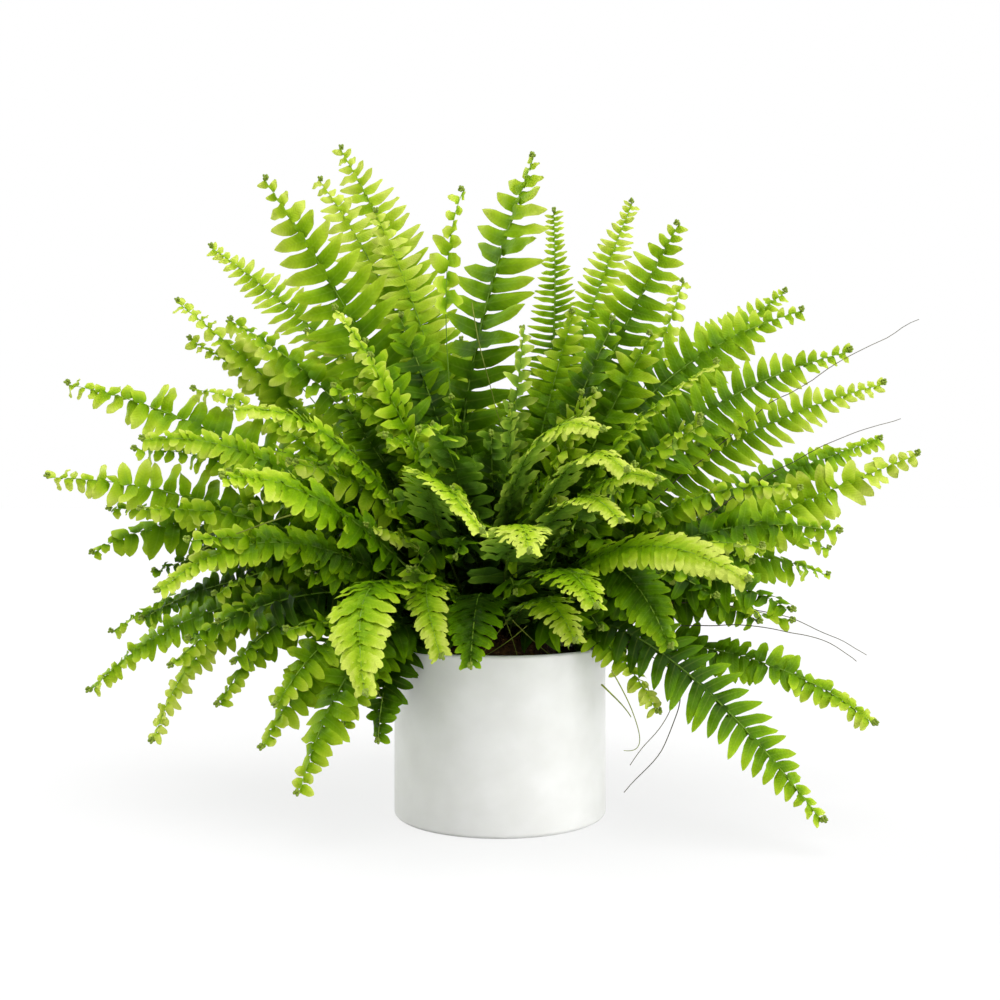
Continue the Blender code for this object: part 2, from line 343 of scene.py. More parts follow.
@dataclass(frozen=True)
class FernLeaf:
    """Living fern leaf: thin, waxy above and dull below, and lit through from behind.

    The wax gives a broad soft sheen. Light that comes through turns the leaf yellow-green. A leaf
    is drawn darkest at the foot of the frond and round its stalk, and lighter towards the tips:
    partly its age, and partly painted shade for the dark inside of the plant and painted light
    on the outer ends.
    """

    age_colours: ClassVar[tuple[tuple[float, str], ...]] = (
        (0.00, "1a3700"),
        (0.20, "355a00"),
        (0.42, "5c8900"),
        (0.62, "8ab30c"),
        (0.82, "b8d22e"),
        (1.00, "d8e463"),
    )
    rib_colour: str = "a9bf4a"
    through_colour: str = "a8c814"
    through: float = 0.34
    roughness: float = 0.40
    shine: float = 0.09
    relief_mm: float = 0.3
    blotch_mm: float = 11.0
    grain_mm: float = 0.9
    veins: float = 9.0

    def build(self, name: str, youth: float) -> bpy.types.Material:
        """Makes the material.

        Args:
            name: its name.
            youth: where the frond starts on the age colours, from 0 for the darkest, which is age
                and, for the darkest tone, painted shade too.

        Returns:
            The material.
        """
        material, tree, shader, output = new_material(name)
        place = add_node(tree, "ShaderNodeTexCoord").outputs["Object"]
        share, odd, mood, along, across, under = (
            add_node(tree, ATTRIBUTE, attribute_name=label).outputs["Fac"]
            for label in ("share", "odd", "mood", "along", "across", "under")
        )
        edge = add_node(tree, MATH, (across,), operation="ABSOLUTE")
        blotch = add_node(
            tree, NOISE, {"Vector": place, "Scale": 1 / (self.blotch_mm * MM), "Detail": 3.0}
        )
        # What moves a spot along the age colours: (signal, from, to, change at from, change at
        # to). Share and along are partly age and partly painted shade and light: the leaf is drawn
        # darker at the frond's foot and at each leaflet's seat by the stalk, standing in for the
        # shade inside the plant, and lighter towards the tips. Edge, odd, mood and blotch are the
        # leaf's own tone.
        tone_and_shade_steps = (
            (share, 0.20, 1.0, youth - 0.38, youth + 0.35),
            (along, 0.0, 0.9, -0.22, 0.22),
            (edge, 0.25, 1.0, 0.0, 0.10),
            (odd, 0.0, 1.0, -0.07, 0.07),
            (mood, -1.0, 1.0, -1.0, 1.0),
            (blotch, 0.3, 0.7, -0.06, 0.06),
        )
        age: Any = None
        for signal, low, high, at_low, at_high in tone_and_shade_steps:
            part = add_node(tree, RANGE, (signal, low, high, at_low, at_high))
            age = part if age is None else add_node(tree, MATH, (age, part), operation="ADD")
        colour = add_node(tree, "ShaderNodeValToRGB", (age,))
        set_ramp(colour, self.age_colours)

        # The midrib is a thin pale line, and the veins leave it at a slant.
        midrib = add_node(tree, RANGE, (edge, 0.02, 0.12, 0.16, 0.0))
        colour = add_node(
            tree,
            MIX,
            {MIX_FACTOR: midrib, MIX_A: colour, MIX_B: linear(self.rib_colour)},
            data_type="RGBA",
        )
        slant = add_node(tree, MATH, (edge, -0.16, along), operation="MULTIPLY_ADD")
        vein = add_node(tree, MATH, (slant, math.tau * self.veins), operation="MULTIPLY")
        vein = add_node(tree, MATH, (vein,), operation="SINE")
        lines = add_node(tree, RANGE, (vein, -1.0, 1.0, 0.96, 1.03))
        pale = add_node(tree, RANGE, (under, 0.0, 1.0, 1.0, 1.08))
        shade = add_node(tree, MATH, (lines, pale), operation="MULTIPLY")
        dull = add_node(tree, RANGE, (under, 0.0, 1.0, 1.0, 0.92))
        colour = add_node(
            tree, "ShaderNodeHueSaturation", {"Saturation": dull, "Value": shade, "Color": colour}
        )

        grain = add_node(
            tree, NOISE, {"Vector": place, "Scale": 1 / (self.grain_mm * MM), "Detail": 2.0}
        )
        height = add_node(tree, MATH, (vein, 0.35, grain), operation="MULTIPLY_ADD")
        bump = add_node(
            tree, BUMP, {"Strength": 0.30, "Distance": self.relief_mm * MM, "Height": height}
        )
        rough = add_node(
            tree, RANGE, (blotch, 0.0, 1.0, self.roughness - 0.1, self.roughness + 0.16)
        )
        feed(tree, shader, {"Base Color": colour, "Roughness": rough, "Normal": bump})
        feed(tree, shader, {"Specular IOR Level": self.shine})

        tint = add_node(
            tree,
            MIX,
            {MIX_FACTOR: 0.5, MIX_A: colour, MIX_B: linear(self.through_colour)},
            data_type="RGBA",
        )
        behind = add_node(tree, "ShaderNodeBsdfTranslucent", {"Color": tint, "Normal": bump})
        both = add_node(tree, "ShaderNodeMixShader", (self.through, shader, behind))
        feed(tree, output, {"Surface": both})
        return material


@dataclass(frozen=True)
class FernStalk:
    """Fern stalk: a wiry stem with a satin skin, brown at the foot and green further out.

    It keeps a soft highlight along its length, and the curled bud at its tip is dark green.
    """

    age_colours: ClassVar[tuple[tuple[float, str], ...]] = (
        (0.00, "2c280c"),
        (0.25, "3f550c"),
        (0.65, "5f8416"),
        (1.00, "8aaa30"),
    )
    bud_colour: str = "7c922e"
    roughness: float = 0.5
    shine: float = 0.2
    streak_mm: float = 1.5
    relief_mm: float = 0.2

    def build(self, name: str) -> bpy.types.Material:
        """Makes the material."""
        material, tree, shader, _ = new_material(name)
        place = add_node(tree, "ShaderNodeTexCoord").outputs["Object"]
        share, bud = (
            add_node(tree, ATTRIBUTE, attribute_name=label).outputs["Fac"]
            for label in ("share", "bud")
        )
        streak = add_node(
            tree, NOISE, {"Vector": place, "Scale": 1 / (self.streak_mm * MM), "Detail": 3.0}
        )
        blur = add_node(tree, RANGE, (streak, 0.0, 1.0, -0.12, 0.12))
        age = add_node(tree, MATH, (share, blur), operation="ADD")
        colour = add_node(tree, "ShaderNodeValToRGB", (age,))
        set_ramp(colour, self.age_colours)
        colour = add_node(
            tree,
            MIX,
            {MIX_FACTOR: bud, MIX_A: colour, MIX_B: linear(self.bud_colour)},
            data_type="RGBA",
        )
        rough = add_node(
            tree, RANGE, (streak, 0.0, 1.0, self.roughness - 0.1, self.roughness + 0.1)
        )
        bump = add_node(
            tree, BUMP, {"Strength": 0.4, "Distance": self.relief_mm * MM, "Height": streak}
        )
        feed(tree, shader, {"Base Color": colour, "Roughness": rough, "Normal": bump})
        feed(tree, shader, {"Specular IOR Level": self.shine})
        return material


@dataclass(frozen=True)
class EarthyStuff:
    """Peat, bark and dead fibre: dry, dull and uneven, so light finds no highlight on it."""

    name: str
    colours: tuple[tuple[float, str], ...]
    patch_mm: float
    grain_mm: float
    roughness: float
    relief_mm: float
    shine: float = 0.2

    def build(self) -> bpy.types.Material:
        """Makes the material."""
        material, tree, shader, _ = new_material(self.name)
        place = add_node(tree, "ShaderNodeTexCoord").outputs["Object"]
        odd = add_node(tree, ATTRIBUTE, attribute_name="odd").outputs["Fac"]
        patch, grain = (
            add_node(tree, NOISE, {"Vector": place, "Scale": 1 / (size * MM), "Detail": 4.0})
            for size in (self.patch_mm, self.grain_mm)
        )
        own = add_node(tree, RANGE, (odd, 0.0, 1.0, -0.22, 0.22))
        tone = add_node(tree, MATH, (patch, own), operation="ADD")
        fine = add_node(tree, RANGE, (grain, 0.0, 1.0, -0.18, 0.18))
        tone = add_node(tree, MATH, (tone, fine), operation="ADD")
        colour = add_node(tree, "ShaderNodeValToRGB", (tone,))
        set_ramp(colour, self.colours)
        rough = add_node(
            tree, RANGE, (grain, 0.0, 1.0, self.roughness - 0.08, self.roughness + 0.08)
        )
        bump = add_node(
            tree, BUMP, {"Strength": 0.8, "Distance": self.relief_mm * MM, "Height": grain}
        )
        feed(tree, shader, {"Base Color": colour, "Roughness": rough, "Normal": bump})
        feed(tree, shader, {"Specular IOR Level": self.shine})
        return material


PEAT = EarthyStuff(
    "damp_peat",
    ((0.15, "150b05"), (0.45, "2c1a0f"), (0.65, "472d1b"), (0.85, "6d4c33")),
    patch_mm=14.0,
    grain_mm=1.4,
    roughness=0.9,
    relief_mm=0.8,
)
BARK = EarthyStuff(
    "scaly_rhizome",
    ((0.15, "1d1208"), (0.45, "3a2611"), (0.65, "5c4020"), (0.85, "86643a")),
    patch_mm=8.0,
    grain_mm=0.9,
    roughness=0.8,
    relief_mm=0.4,
)
WIRY_SKIN = EarthyStuff(
    "dry_runner_skin",
    ((0.15, "3d3a24"), (0.45, "5c5638"), (0.65, "777050"), (0.85, "98906c")),
    patch_mm=30.0,
    grain_mm=1.2,
    roughness=0.62,
    relief_mm=0.1,
)
YOUNG_SKIN = EarthyStuff(
    "green_runner_skin",
    ((0.15, "5f6a1e"), (0.45, "8a9638"), (0.65, "a9b052"), (0.85, "c4c878")),
    patch_mm=24.0,
    grain_mm=1.2,
    roughness=0.55,
    relief_mm=0.1,
)


@dataclass(frozen=True)
class MattCeramic:
    """White ceramic with a matt glaze: a soft wide highlight, and a faint orange-peel surface.

    The peel of a real glaze is about half a millimetre, which is drawn a little coarser so
    that it shows.
    """

    colour: str = "ebebea"
    shade: str = "e4e4e2"
    roughness: float = 0.5
    ior: float = 1.5
    peel_mm: float = 1.6
    relief_mm: float = 0.12
    cloud_mm: float = 28.0

    def build(self) -> bpy.types.Material:
        """Makes the material."""
        material, tree, shader, _ = new_material("matt_white_ceramic")
        place = add_node(tree, "ShaderNodeTexCoord").outputs["Object"]
        cloud, peel = (
            add_node(tree, NOISE, {"Vector": place, "Scale": 1 / (size * MM), "Detail": detail})
            for size, detail in ((self.cloud_mm, 3.0), (self.peel_mm, 2.0))
        )
        mixed = add_node(tree, RANGE, (cloud, 0.35, 0.65, 0.0, 1.0))
        colour = add_node(
            tree,
            MIX,
            {MIX_FACTOR: mixed, MIX_A: linear(self.colour), MIX_B: linear(self.shade)},
            data_type="RGBA",
        )
        rough = add_node(
            tree, RANGE, (cloud, 0.3, 0.7, self.roughness - 0.05, self.roughness + 0.08)
        )
        bump = add_node(
            tree, BUMP, {"Strength": 0.25, "Distance": self.relief_mm * MM, "Height": peel}
        )
        feed(tree, shader, {"Base Color": colour, "Roughness": rough, "Normal": bump})
        feed(tree, shader, {"IOR": self.ior})
        return material


class Tone(Enum):
    """How old a frond is, and how dark it is drawn: its material slot, and where it starts on the
    leaf's age colours. The darkest tone is partly painted shade, for fronds deep in the plant and
    under others.
    """

    # Partly painted shade: drawn dark for fronds in the plant's shaded core and under others.
    DEEP = ("leaf_deep", 0.07)
    GREEN = ("leaf_green", 0.37)
    FRESH = ("leaf_fresh", 0.58)
    YOUNG = ("leaf_young", 0.68)

    @property
    def slot(self) -> str:
        """The record's material slot."""
        return self.value[0]

    @property
    def youth(self) -> float:
        """Where the tone starts on the age colours."""
        return self.value[1]


@dataclass(frozen=True)
class BladeForm:
    """The outline of one kind of leaflet, and how its blades bend.

    The two sides are half widths at each station from the seat to the point, in shares of the
    width. Hook, droop, fold and ripple are in shares of the width too, as the least and the most.
    """

    tip_side: tuple[float, ...]
    foot_side: tuple[float, ...]
    hook: tuple[float, float]
    droop: tuple[float, float]
    fold: tuple[float, float]
    ripple: tuple[float, float]
    waves: tuple[float, float]
    scallop: float


class Blade(Enum):
    """The kinds of leaflet on the plant."""

    LANCE = BladeForm(
        tip_side=(0.42, 0.47, 0.46, 0.44, 0.42, 0.38, 0.29, 0.15, 0.0),
        foot_side=(0.35, 0.42, 0.43, 0.42, 0.40, 0.35, 0.26, 0.12, 0.0),
        hook=(0.10, 0.45),
        droop=(-0.10, 0.60),
        fold=(-0.26, 0.10),
        ripple=(0.06, 0.15),
        waves=(1.2, 2.2),
        scallop=0.02,
    )
    OVAL = BladeForm(
        tip_side=(0.34, 0.46, 0.50, 0.51, 0.51, 0.48, 0.39, 0.21, 0.0),
        foot_side=(0.26, 0.38, 0.45, 0.48, 0.48, 0.45, 0.36, 0.19, 0.0),
        hook=(-0.10, 0.45),
        droop=(-0.20, 1.10),
        fold=(-0.34, 0.20),
        ripple=(0.08, 0.18),
        waves=(1.0, 1.9),
        scallop=0.02,
    )
    RUFFLED = BladeForm(
        tip_side=(0.50, 0.55, 0.50, 0.49, 0.49, 0.48, 0.43, 0.28, 0.0),
        foot_side=(0.46, 0.50, 0.47, 0.47, 0.48, 0.46, 0.40, 0.24, 0.0),
        hook=(0.05, 0.40),
        droop=(0.10, 0.70),
        fold=(-0.20, 0.10),
        ripple=(0.08, 0.16),
        waves=(1.8, 2.8),
        scallop=0.05,
    )

    @property
    def first(self) -> int:
        """The place of its first leaflet among all the leaflets in stock."""
        return list(Blade).index(self) * VARIANTS * 2


@dataclass(frozen=True)
class Growth:
    """How the leaflets of one kind of frond grow.

    Reach is a share of the frond's leaflet length, bare is the share of the stalk without any,
    spacing is in shares of the reach, fullness is a leaflet's width in shares of its spacing, and
    the higher taper is, the blunter is the frond's end. Wobble is in radians, and lean, rise and
    sag are slopes towards the tip, above the frond's plane and to the ground. Light is a step
    along the leaf's age colours.
    """

    blade: Blade
    reach: float
    bare: float
    spacing: float
    fullness: float
    taper: float
    wobble: float
    lean: float
    rise: float
    sag: float
    light: float


class Habit(Enum):
    """The kinds of frond on the plant."""

    UPRIGHT = Growth(Blade.LANCE, 1.16, 0.08, 0.355, 0.94, 4.8, 0.26, 0.20, 0.12, 0.06, 0.08)
    FINE = Growth(Blade.LANCE, 1.16, 0.08, 0.23, 0.88, 2.2, 0.16, 0.18, 0.08, 0.04, 0.06)
    TAPERED = Growth(Blade.LANCE, 1.18, 0.08, 0.32, 0.96, 2.5, 0.22, 0.26, 0.10, 0.06, 0.06)
    LAX = Growth(Blade.OVAL, 1.05, 0.08, 0.38, 1.00, 3.4, 0.66, 0.22, 0.08, 0.08, 0.0)
    YOUNG = Growth(Blade.RUFFLED, 0.80, 0.38, 0.24, 1.24, 4.2, 0.13, 0.36, 0.02, 0.12, -0.06)
    COMB = Growth(Blade.RUFFLED, 0.72, 0.10, 0.26, 1.14, 4.2, 0.18, 0.30, 0.02, 0.12, 0.0)
    CRIMPED = Growth(Blade.RUFFLED, 0.78, 0.36, 0.30, 1.15, 3.8, 0.46, 0.30, 0.04, 0.12, -0.22)
    SMALL = Growth(Blade.OVAL, 0.94, 0.08, 0.32, 1.12, 2.8, 0.38, 0.20, 0.06, 0.06, 0.06)
    OPEN = Growth(Blade.OVAL, 0.66, 0.10, 0.72, 1.05, 6.0, 0.60, 0.16, 0.10, 0.02, 0.04)
    RAGGED = Growth(Blade.OVAL, 0.95, 0.08, 0.50, 1.00, 3.0, 0.85, 0.20, 0.10, 0.20, 0.0)
    SPARSE = Growth(Blade.OVAL, 1.00, 0.72, 0.80, 1.00, 6.0, 0.40, 0.20, 0.10, 0.06, 0.0)


@dataclass(frozen=True)
class Leaflet:
    """One leaflet as a closed thin blade, in shares of its own length and width.

    It runs along +X from its seat on the stalk, and +Y points to the frond's tip. Its base is
    broad with an ear on the tip side, and its end curves to the tip side.
    """

    form: BladeForm
    ear: float
    hook: float
    droop: float
    fold: float
    ripple: float
    waves: float
    phase: float

    stations: ClassVar[tuple[float, ...]] = (-0.04, 0.06, 0.18, 0.32, 0.47, 0.62, 0.78, 0.92, 1.0)
    columns: ClassVar[tuple[float, ...]] = (-1.0, 0.0, 1.0)
    thickness: ClassVar[float] = 0.034

    @classmethod
    def drawn(cls, draw: random.Random, form: BladeForm) -> Leaflet:
        """A leaflet with its own small differences.

        Args:
            draw: where its random numbers come from.
            form: the kind of leaflet that it is.

        Returns:
            The leaflet.
        """
        return cls(
            form=form,
            ear=draw.uniform(0.02, 0.10),
            hook=draw.uniform(*form.hook),
            droop=draw.uniform(*form.droop),
            fold=draw.uniform(*form.fold),
            ripple=draw.uniform(*form.ripple),
            waves=draw.uniform(*form.waves),
            phase=draw.uniform(0.0, math.tau),
        )

    def point(self, row: int, across: float) -> tuple[Vector, float]:
        """A point of the blade's middle layer.

        Args:
            row: the station.
            across: from -1 on the foot side's margin to 1 on the tip side's.

        Returns:
            The point, and half the blade's thickness there.
        """
        along = self.stations[row]
        half = (self.form.tip_side if across > 0 else self.form.foot_side)[row]
        if across > 0 and 0 < row < 3:
            half += self.ear * (1.0 if row == 1 else 0.4)
        half *= 1.0 + self.form.scallop * (1 if row % 2 else -1)
        side = abs(across)
        wave = math.sin(math.tau * self.waves * along + self.phase * (1 if across > 0 else 1.7))
        height = (
            self.fold * side * math.sin(math.pi * min(1.0, along + 0.12))
            + self.ripple * wave * side**1.5
            - self.droop * along**2
        )
        ends = row in (0, len(self.stations) - 1)
        thick = 0.0 if ends or side == 1.0 else self.thickness / 2
        return Vector((along, across * half + self.hook * along**2, height)), thick

    def mesh(self, name: str, mirrored: bool) -> bpy.types.Mesh:
        """The blade's mesh, with where each point lies and which faces are its underside.

        Args:
            name: the mesh's name.
            mirrored: whether its upper face is on -Z, for the other side of the stalk.

        Returns:
            The mesh.
        """
        bm = bmesh.new()
        last = len(self.stations) - 1
        flip = -1.0 if mirrored else 1.0
        spots: list[tuple[float, float]] = []
        upper, lower = [], []
        for row, along in enumerate(self.stations):
            above, below = [], []
            for across in self.columns if row < last else (0.0,):
                middle, thick = self.point(row, across)
                for side, line in ((1, above), (-1, below)):
                    if side < 0 and not thick:
                        line.append(above[-1])
                        continue
                    place = middle + Vector((0, 0, side * thick))
                    line.append(bm.verts.new((place.x, place.y, place.z * flip)))
                    spots.append((along, across))
            upper.append(above)
            lower.append(below)
        # Both layers are split along the same lines, so they can't cut through each other.
        under = []
        for side, rows in ((1, upper), (-1, lower)):
            for near, far in zip(rows, rows[1:]):
                left, middle, right = (far * 3)[:3] if len(far) == 1 else far
                for corners in (
                    (near[0], near[1], middle),
                    (near[0], middle, left),
                    (near[1], near[2], middle),
                    (near[2], right, middle),
                ):
                    if len(set(corners)) == 3:
                        bm.faces.new(corners if side * flip > 0 else corners[::-1])
                        under.append(float(side < 0))
        # The margin is a sharp edge, so that the two faces of the blade shade apart.
        for index, face in enumerate(bm.faces):
            face.tag = under[index] > 0.0
        for edge in bm.edges:
            edge.smooth = len({face.tag for face in edge.link_faces}) == 1
        mesh = mesh_from(bm, name)
        store(mesh, "along", [spot[0] for spot in spots])
        store(mesh, "across", [spot[1] for spot in spots])
        store(mesh, "under", under, "FACE")
        return mesh


@dataclass(frozen=True)
class CurledBud:
    """The tightly curled bud at a frond's tip: a coiled row of nubs.

    A nub's radius and its spread to either side are in shares of the stem's radius, stretch is
    how long it is for its width, and closing is how far the coil tightens.
    """

    stem: float = 0.75 * MM
    coil: float = 1.5 * MM
    turns: float = 1.2
    nubs: int = 7
    nub: float = 1.25
    stretch: float = 1.25
    closing: float = 0.62
    spread: float = 0.7

    def mesh(self, name: str) -> bpy.types.Mesh:
        """The bud's mesh, which runs along +X from the stalk's end."""
        bm = bmesh.new()
        for step in range(self.nubs):
            share = step / (self.nubs - 1)
            angle = -math.pi / 2 + math.tau * self.turns * share
            reach = self.coil * (1.0 - self.closing * share)
            centre = Vector(
                (
                    self.coil * 0.9 + reach * math.cos(angle),
                    (self.spread if step % 2 else -self.spread) * self.stem,
                    self.coil + reach * math.sin(angle),
                )
            )
            made = bmesh.ops.create_icosphere(bm, subdivisions=1, radius=self.stem * self.nub)
            for vert in made["verts"]:
                vert.co.x *= self.stretch
                vert.co += centre
        mesh = mesh_from(bm, name)
        for label in ("stem", "bud", "share"):
            store(mesh, label, [1.0] * len(mesh.vertices))
        return mesh


@dataclass(frozen=True)
class Frond:
    """One frond: where it bends and ends, in millimetres, and how its leaflets lie.

    Turn is how far its face is turned to the front, in degrees, and length is its longest
    leaflet in millimetres, which its habit's reach then scales.
    """

    knee: tuple[float, float, float]
    tip: tuple[float, float, float]
    turn: float
    length: float
    tone: Tone
    habit: Habit = Habit.LAX


FRONDS = (
    Frond((-56, 85, 304), (-238, 140, 430), 50, 22, Tone.FRESH, Habit.UPRIGHT),
    Frond((-55, 32, 284), (-175, 40, 460), 85, 40, Tone.GREEN, Habit.TAPERED),
    Frond((-40, 80, 355), (-130, 130, 508), 50, 28, Tone.FRESH, Habit.UPRIGHT),
    Frond((-57, 5, 372), (-27, 10, 444), 30, 16, Tone.FRESH, Habit.SPARSE),
    Frond((-57, 20, 258), (25, 40, 477), 15, 36, Tone.GREEN, Habit.UPRIGHT),
    Frond((48, 60, 279), (43, 110, 452), 5, 24, Tone.GREEN, Habit.FINE),
    Frond((36, 90, 290), (110, 150, 469), 30, 20, Tone.FRESH, Habit.UPRIGHT),
    Frond((44, 20, 266), (131, 30, 424), 70, 28, Tone.GREEN, Habit.UPRIGHT),
    Frond((108, 70, 281), (149, 130, 399), 40, 15, Tone.FRESH, Habit.SPARSE),
    Frond((112, 102, 306), (235, 140, 393), 50, 24, Tone.GREEN, Habit.UPRIGHT),
    Frond((74, 30, 321), (226, 50, 364), 70, 32, Tone.GREEN, Habit.TAPERED),
    Frond((101, 10, 294), (254, 20, 330), 70, 28, Tone.GREEN, Habit.TAPERED),
    Frond((117, 25, 266), (288, 50, 309), 65, 26, Tone.FRESH, Habit.TAPERED),
    Frond((140, 75, 222), (310, 130, 271), 50, 26, Tone.GREEN, Habit.SMALL),
    Frond((171, 20, 204), (307, 30, 255), 70, 26, Tone.FRESH),
    Frond((146, 60, 245), (256, 90, 184), 50, 30, Tone.GREEN),
    Frond((180, -40, 134), (247, -60, 74), 40, 23, Tone.GREEN, Habit.SMALL),
    Frond((80, -60, 182), (200, -110, 23), 40, 26, Tone.GREEN, Habit.TAPERED),
    Frond((70, -100, 228), (145, -150, 175), 40, 26, Tone.YOUNG, Habit.YOUNG),
    Frond((61, -40, 270), (143, -60, 312), 20, 22, Tone.YOUNG, Habit.CRIMPED),
    Frond((57, -70, 260), (96, -120, 234), 30, 26, Tone.FRESH, Habit.COMB),
    Frond((66, -70, 235), (104, -120, 133), 30, 32, Tone.DEEP, Habit.COMB),
    Frond((66, -60, 155), (101, -80, 86), 20, 14, Tone.FRESH),
    Frond((3, -60, 298), (62, -120, 265), 30, 32, Tone.FRESH, Habit.COMB),
    Frond((38, -90, 260), (70, -160, 210), 10, 24, Tone.FRESH, Habit.COMB),
    Frond((35, -100, 209), (55, -170, 161), 0, 30, Tone.GREEN, Habit.COMB),
    Frond((9, -120, 240), (16, -210, 194), 0, 29, Tone.YOUNG, Habit.YOUNG),
    Frond((-77, -90, 292), (-11, -190, 205), 30, 26, Tone.YOUNG, Habit.YOUNG),
    Frond((-14, -80, 196), (-18, -130, 122), 0, 29, Tone.DEEP, Habit.COMB),
    Frond((-64, -90, 209), (-36, -140, 129), 0, 22, Tone.FRESH, Habit.COMB),
    Frond((-100, -130, 222), (-76, -190, 115), 0, 32, Tone.YOUNG, Habit.YOUNG),
    Frond((-76, -50, 157), (-80, -70, 66), 20, 24, Tone.DEEP, Habit.SMALL),
    Frond((-91, -80, 170), (-125, -110, 41), 20, 28, Tone.GREEN, Habit.SMALL),
    Frond((-108, -50, 161), (-153, -80, 63), 30, 28, Tone.GREEN, Habit.SMALL),
    Frond((-199, -20, 194), (-238, -30, 58), 40, 21, Tone.FRESH, Habit.SMALL),
    Frond((-189, 0, 193), (-291, 0, 87), 50, 22, Tone.GREEN, Habit.SMALL),
    Frond((-204, 70, 190), (-310, 110, 117), 40, 26, Tone.GREEN),
    Frond((-138, -70, 238), (-212, -110, 166), 40, 24, Tone.YOUNG, Habit.CRIMPED),
    Frond((-206, 30, 244), (-302, 40, 183), 60, 30, Tone.GREEN),
    Frond((-108, -100, 244), (-161, -160, 235), 50, 30, Tone.YOUNG, Habit.CRIMPED),
    Frond((-178, 0, 236), (-321, 0, 238), 65, 26, Tone.FRESH),
    Frond((-145, -30, 277), (-236, -60, 262), 50, 24, Tone.YOUNG, Habit.CRIMPED),
    Frond((-157, 10, 276), (-314, 20, 306), 60, 28, Tone.FRESH),
    Frond((-124, 60, 279), (-258, 110, 380), 50, 22, Tone.FRESH, Habit.OPEN),
    Frond((-87, 20, 295), (-200, 40, 355), 60, 24, Tone.GREEN, Habit.OPEN),
    Frond((-90, 110, 320), (-190, 200, 300), 20, 30, Tone.GREEN, Habit.UPRIGHT),
    Frond((-60, 150, 260), (-120, 250, 150), 0, 32, Tone.GREEN),
    Frond((-15, 130, 330), (-30, 270, 270), 0, 30, Tone.GREEN, Habit.UPRIGHT),
    Frond((0, 140, 200), (10, 210, 70), 0, 28, Tone.DEEP),
    Frond((60, 150, 270), (110, 250, 170), 0, 32, Tone.GREEN),
    Frond((90, 110, 310), (180, 210, 280), 20, 28, Tone.GREEN, Habit.UPRIGHT),
)

# Fronds that fill the plant out between the ones that touch and carry load.
INNER_FRONDS = (
    Frond((-54, 70, 353), (-144, 110, 477), 50, 26, Tone.FRESH, Habit.UPRIGHT),
    Frond((-40, 60, 330), (-97, 80, 445), 40, 24, Tone.FRESH, Habit.UPRIGHT),
    Frond((154, 70, 207), (261, 110, 162), 45, 28, Tone.GREEN),
    Frond((38, -90, 286), (74, -150, 240), 20, 24, Tone.YOUNG, Habit.YOUNG),
    Frond((26, -90, 184), (44, -150, 139), 10, 24, Tone.FRESH, Habit.COMB),
    Frond((-30, -70, 288), (-49, -120, 265), 10, 22, Tone.GREEN),
    Frond((-101, -50, 296), (-166, -110, 278), 40, 22, Tone.YOUNG, Habit.CRIMPED),
    Frond((-71, -10, 308), (-115, -20, 354), 40, 18, Tone.FRESH),
    Frond((-130, 80, 290), (-248, 110, 350), 50, 22, Tone.FRESH, Habit.OPEN),
    Frond((-150, 60, 330), (-212, 90, 360), 45, 16, Tone.FRESH, Habit.SPARSE),
    Frond((-150, 20, 300), (-222, 20, 302), 50, 15, Tone.FRESH, Habit.RAGGED),
    Frond((-150, 10, 262), (-262, 10, 258), 50, 18, Tone.GREEN, Habit.RAGGED),
    Frond((-140, -30, 225), (-240, -50, 215), 50, 20, Tone.GREEN, Habit.RAGGED),
    Frond((-130, -60, 210), (-196, -100, 196), 45, 20, Tone.GREEN),
    Frond((-120, 0, 225), (-250, 20, 170), 50, 22, Tone.DEEP),
    Frond((-110, -40, 255), (-178, -60, 240), 45, 20, Tone.GREEN, Habit.RAGGED),
    Frond((-100, -40, 190), (-205, -60, 130), 40, 22, Tone.DEEP, Habit.RAGGED),
    Frond((-60, 0, 290), (-112, -40, 298), 40, 18, Tone.GREEN, Habit.RAGGED),
    Frond((-30, -40, 262), (-72, -90, 262), 30, 18, Tone.GREEN, Habit.RAGGED),
    Frond((130, -20, 225), (232, -30, 200), 50, 22, Tone.GREEN),
    Frond((110, -40, 200), (190, -70, 150), 45, 22, Tone.DEEP),
    Frond((-140, -30, 185), (-188, -50, 86), 30, 24, Tone.GREEN, Habit.SMALL),
    Frond((-150, -20, 192), (-222, -40, 110), 35, 24, Tone.GREEN, Habit.SMALL),
    Frond((-120, -30, 182), (-175, -60, 115), 30, 26, Tone.DEEP, Habit.SMALL),
    Frond((-100, -60, 172), (-142, -90, 92), 25, 26, Tone.GREEN, Habit.SMALL),
    Frond((-80, -60, 160), (-100, -85, 78), 20, 23, Tone.GREEN, Habit.SMALL),
    Frond((-160, 20, 200), (-262, 30, 135), 45, 22, Tone.DEEP, Habit.SMALL),
    Frond((-170, 10, 230), (-280, 10, 215), 50, 18, Tone.GREEN, Habit.RAGGED),
    Frond((-90, 40, 330), (-143, 40, 346), 40, 16, Tone.FRESH, Habit.RAGGED),
)


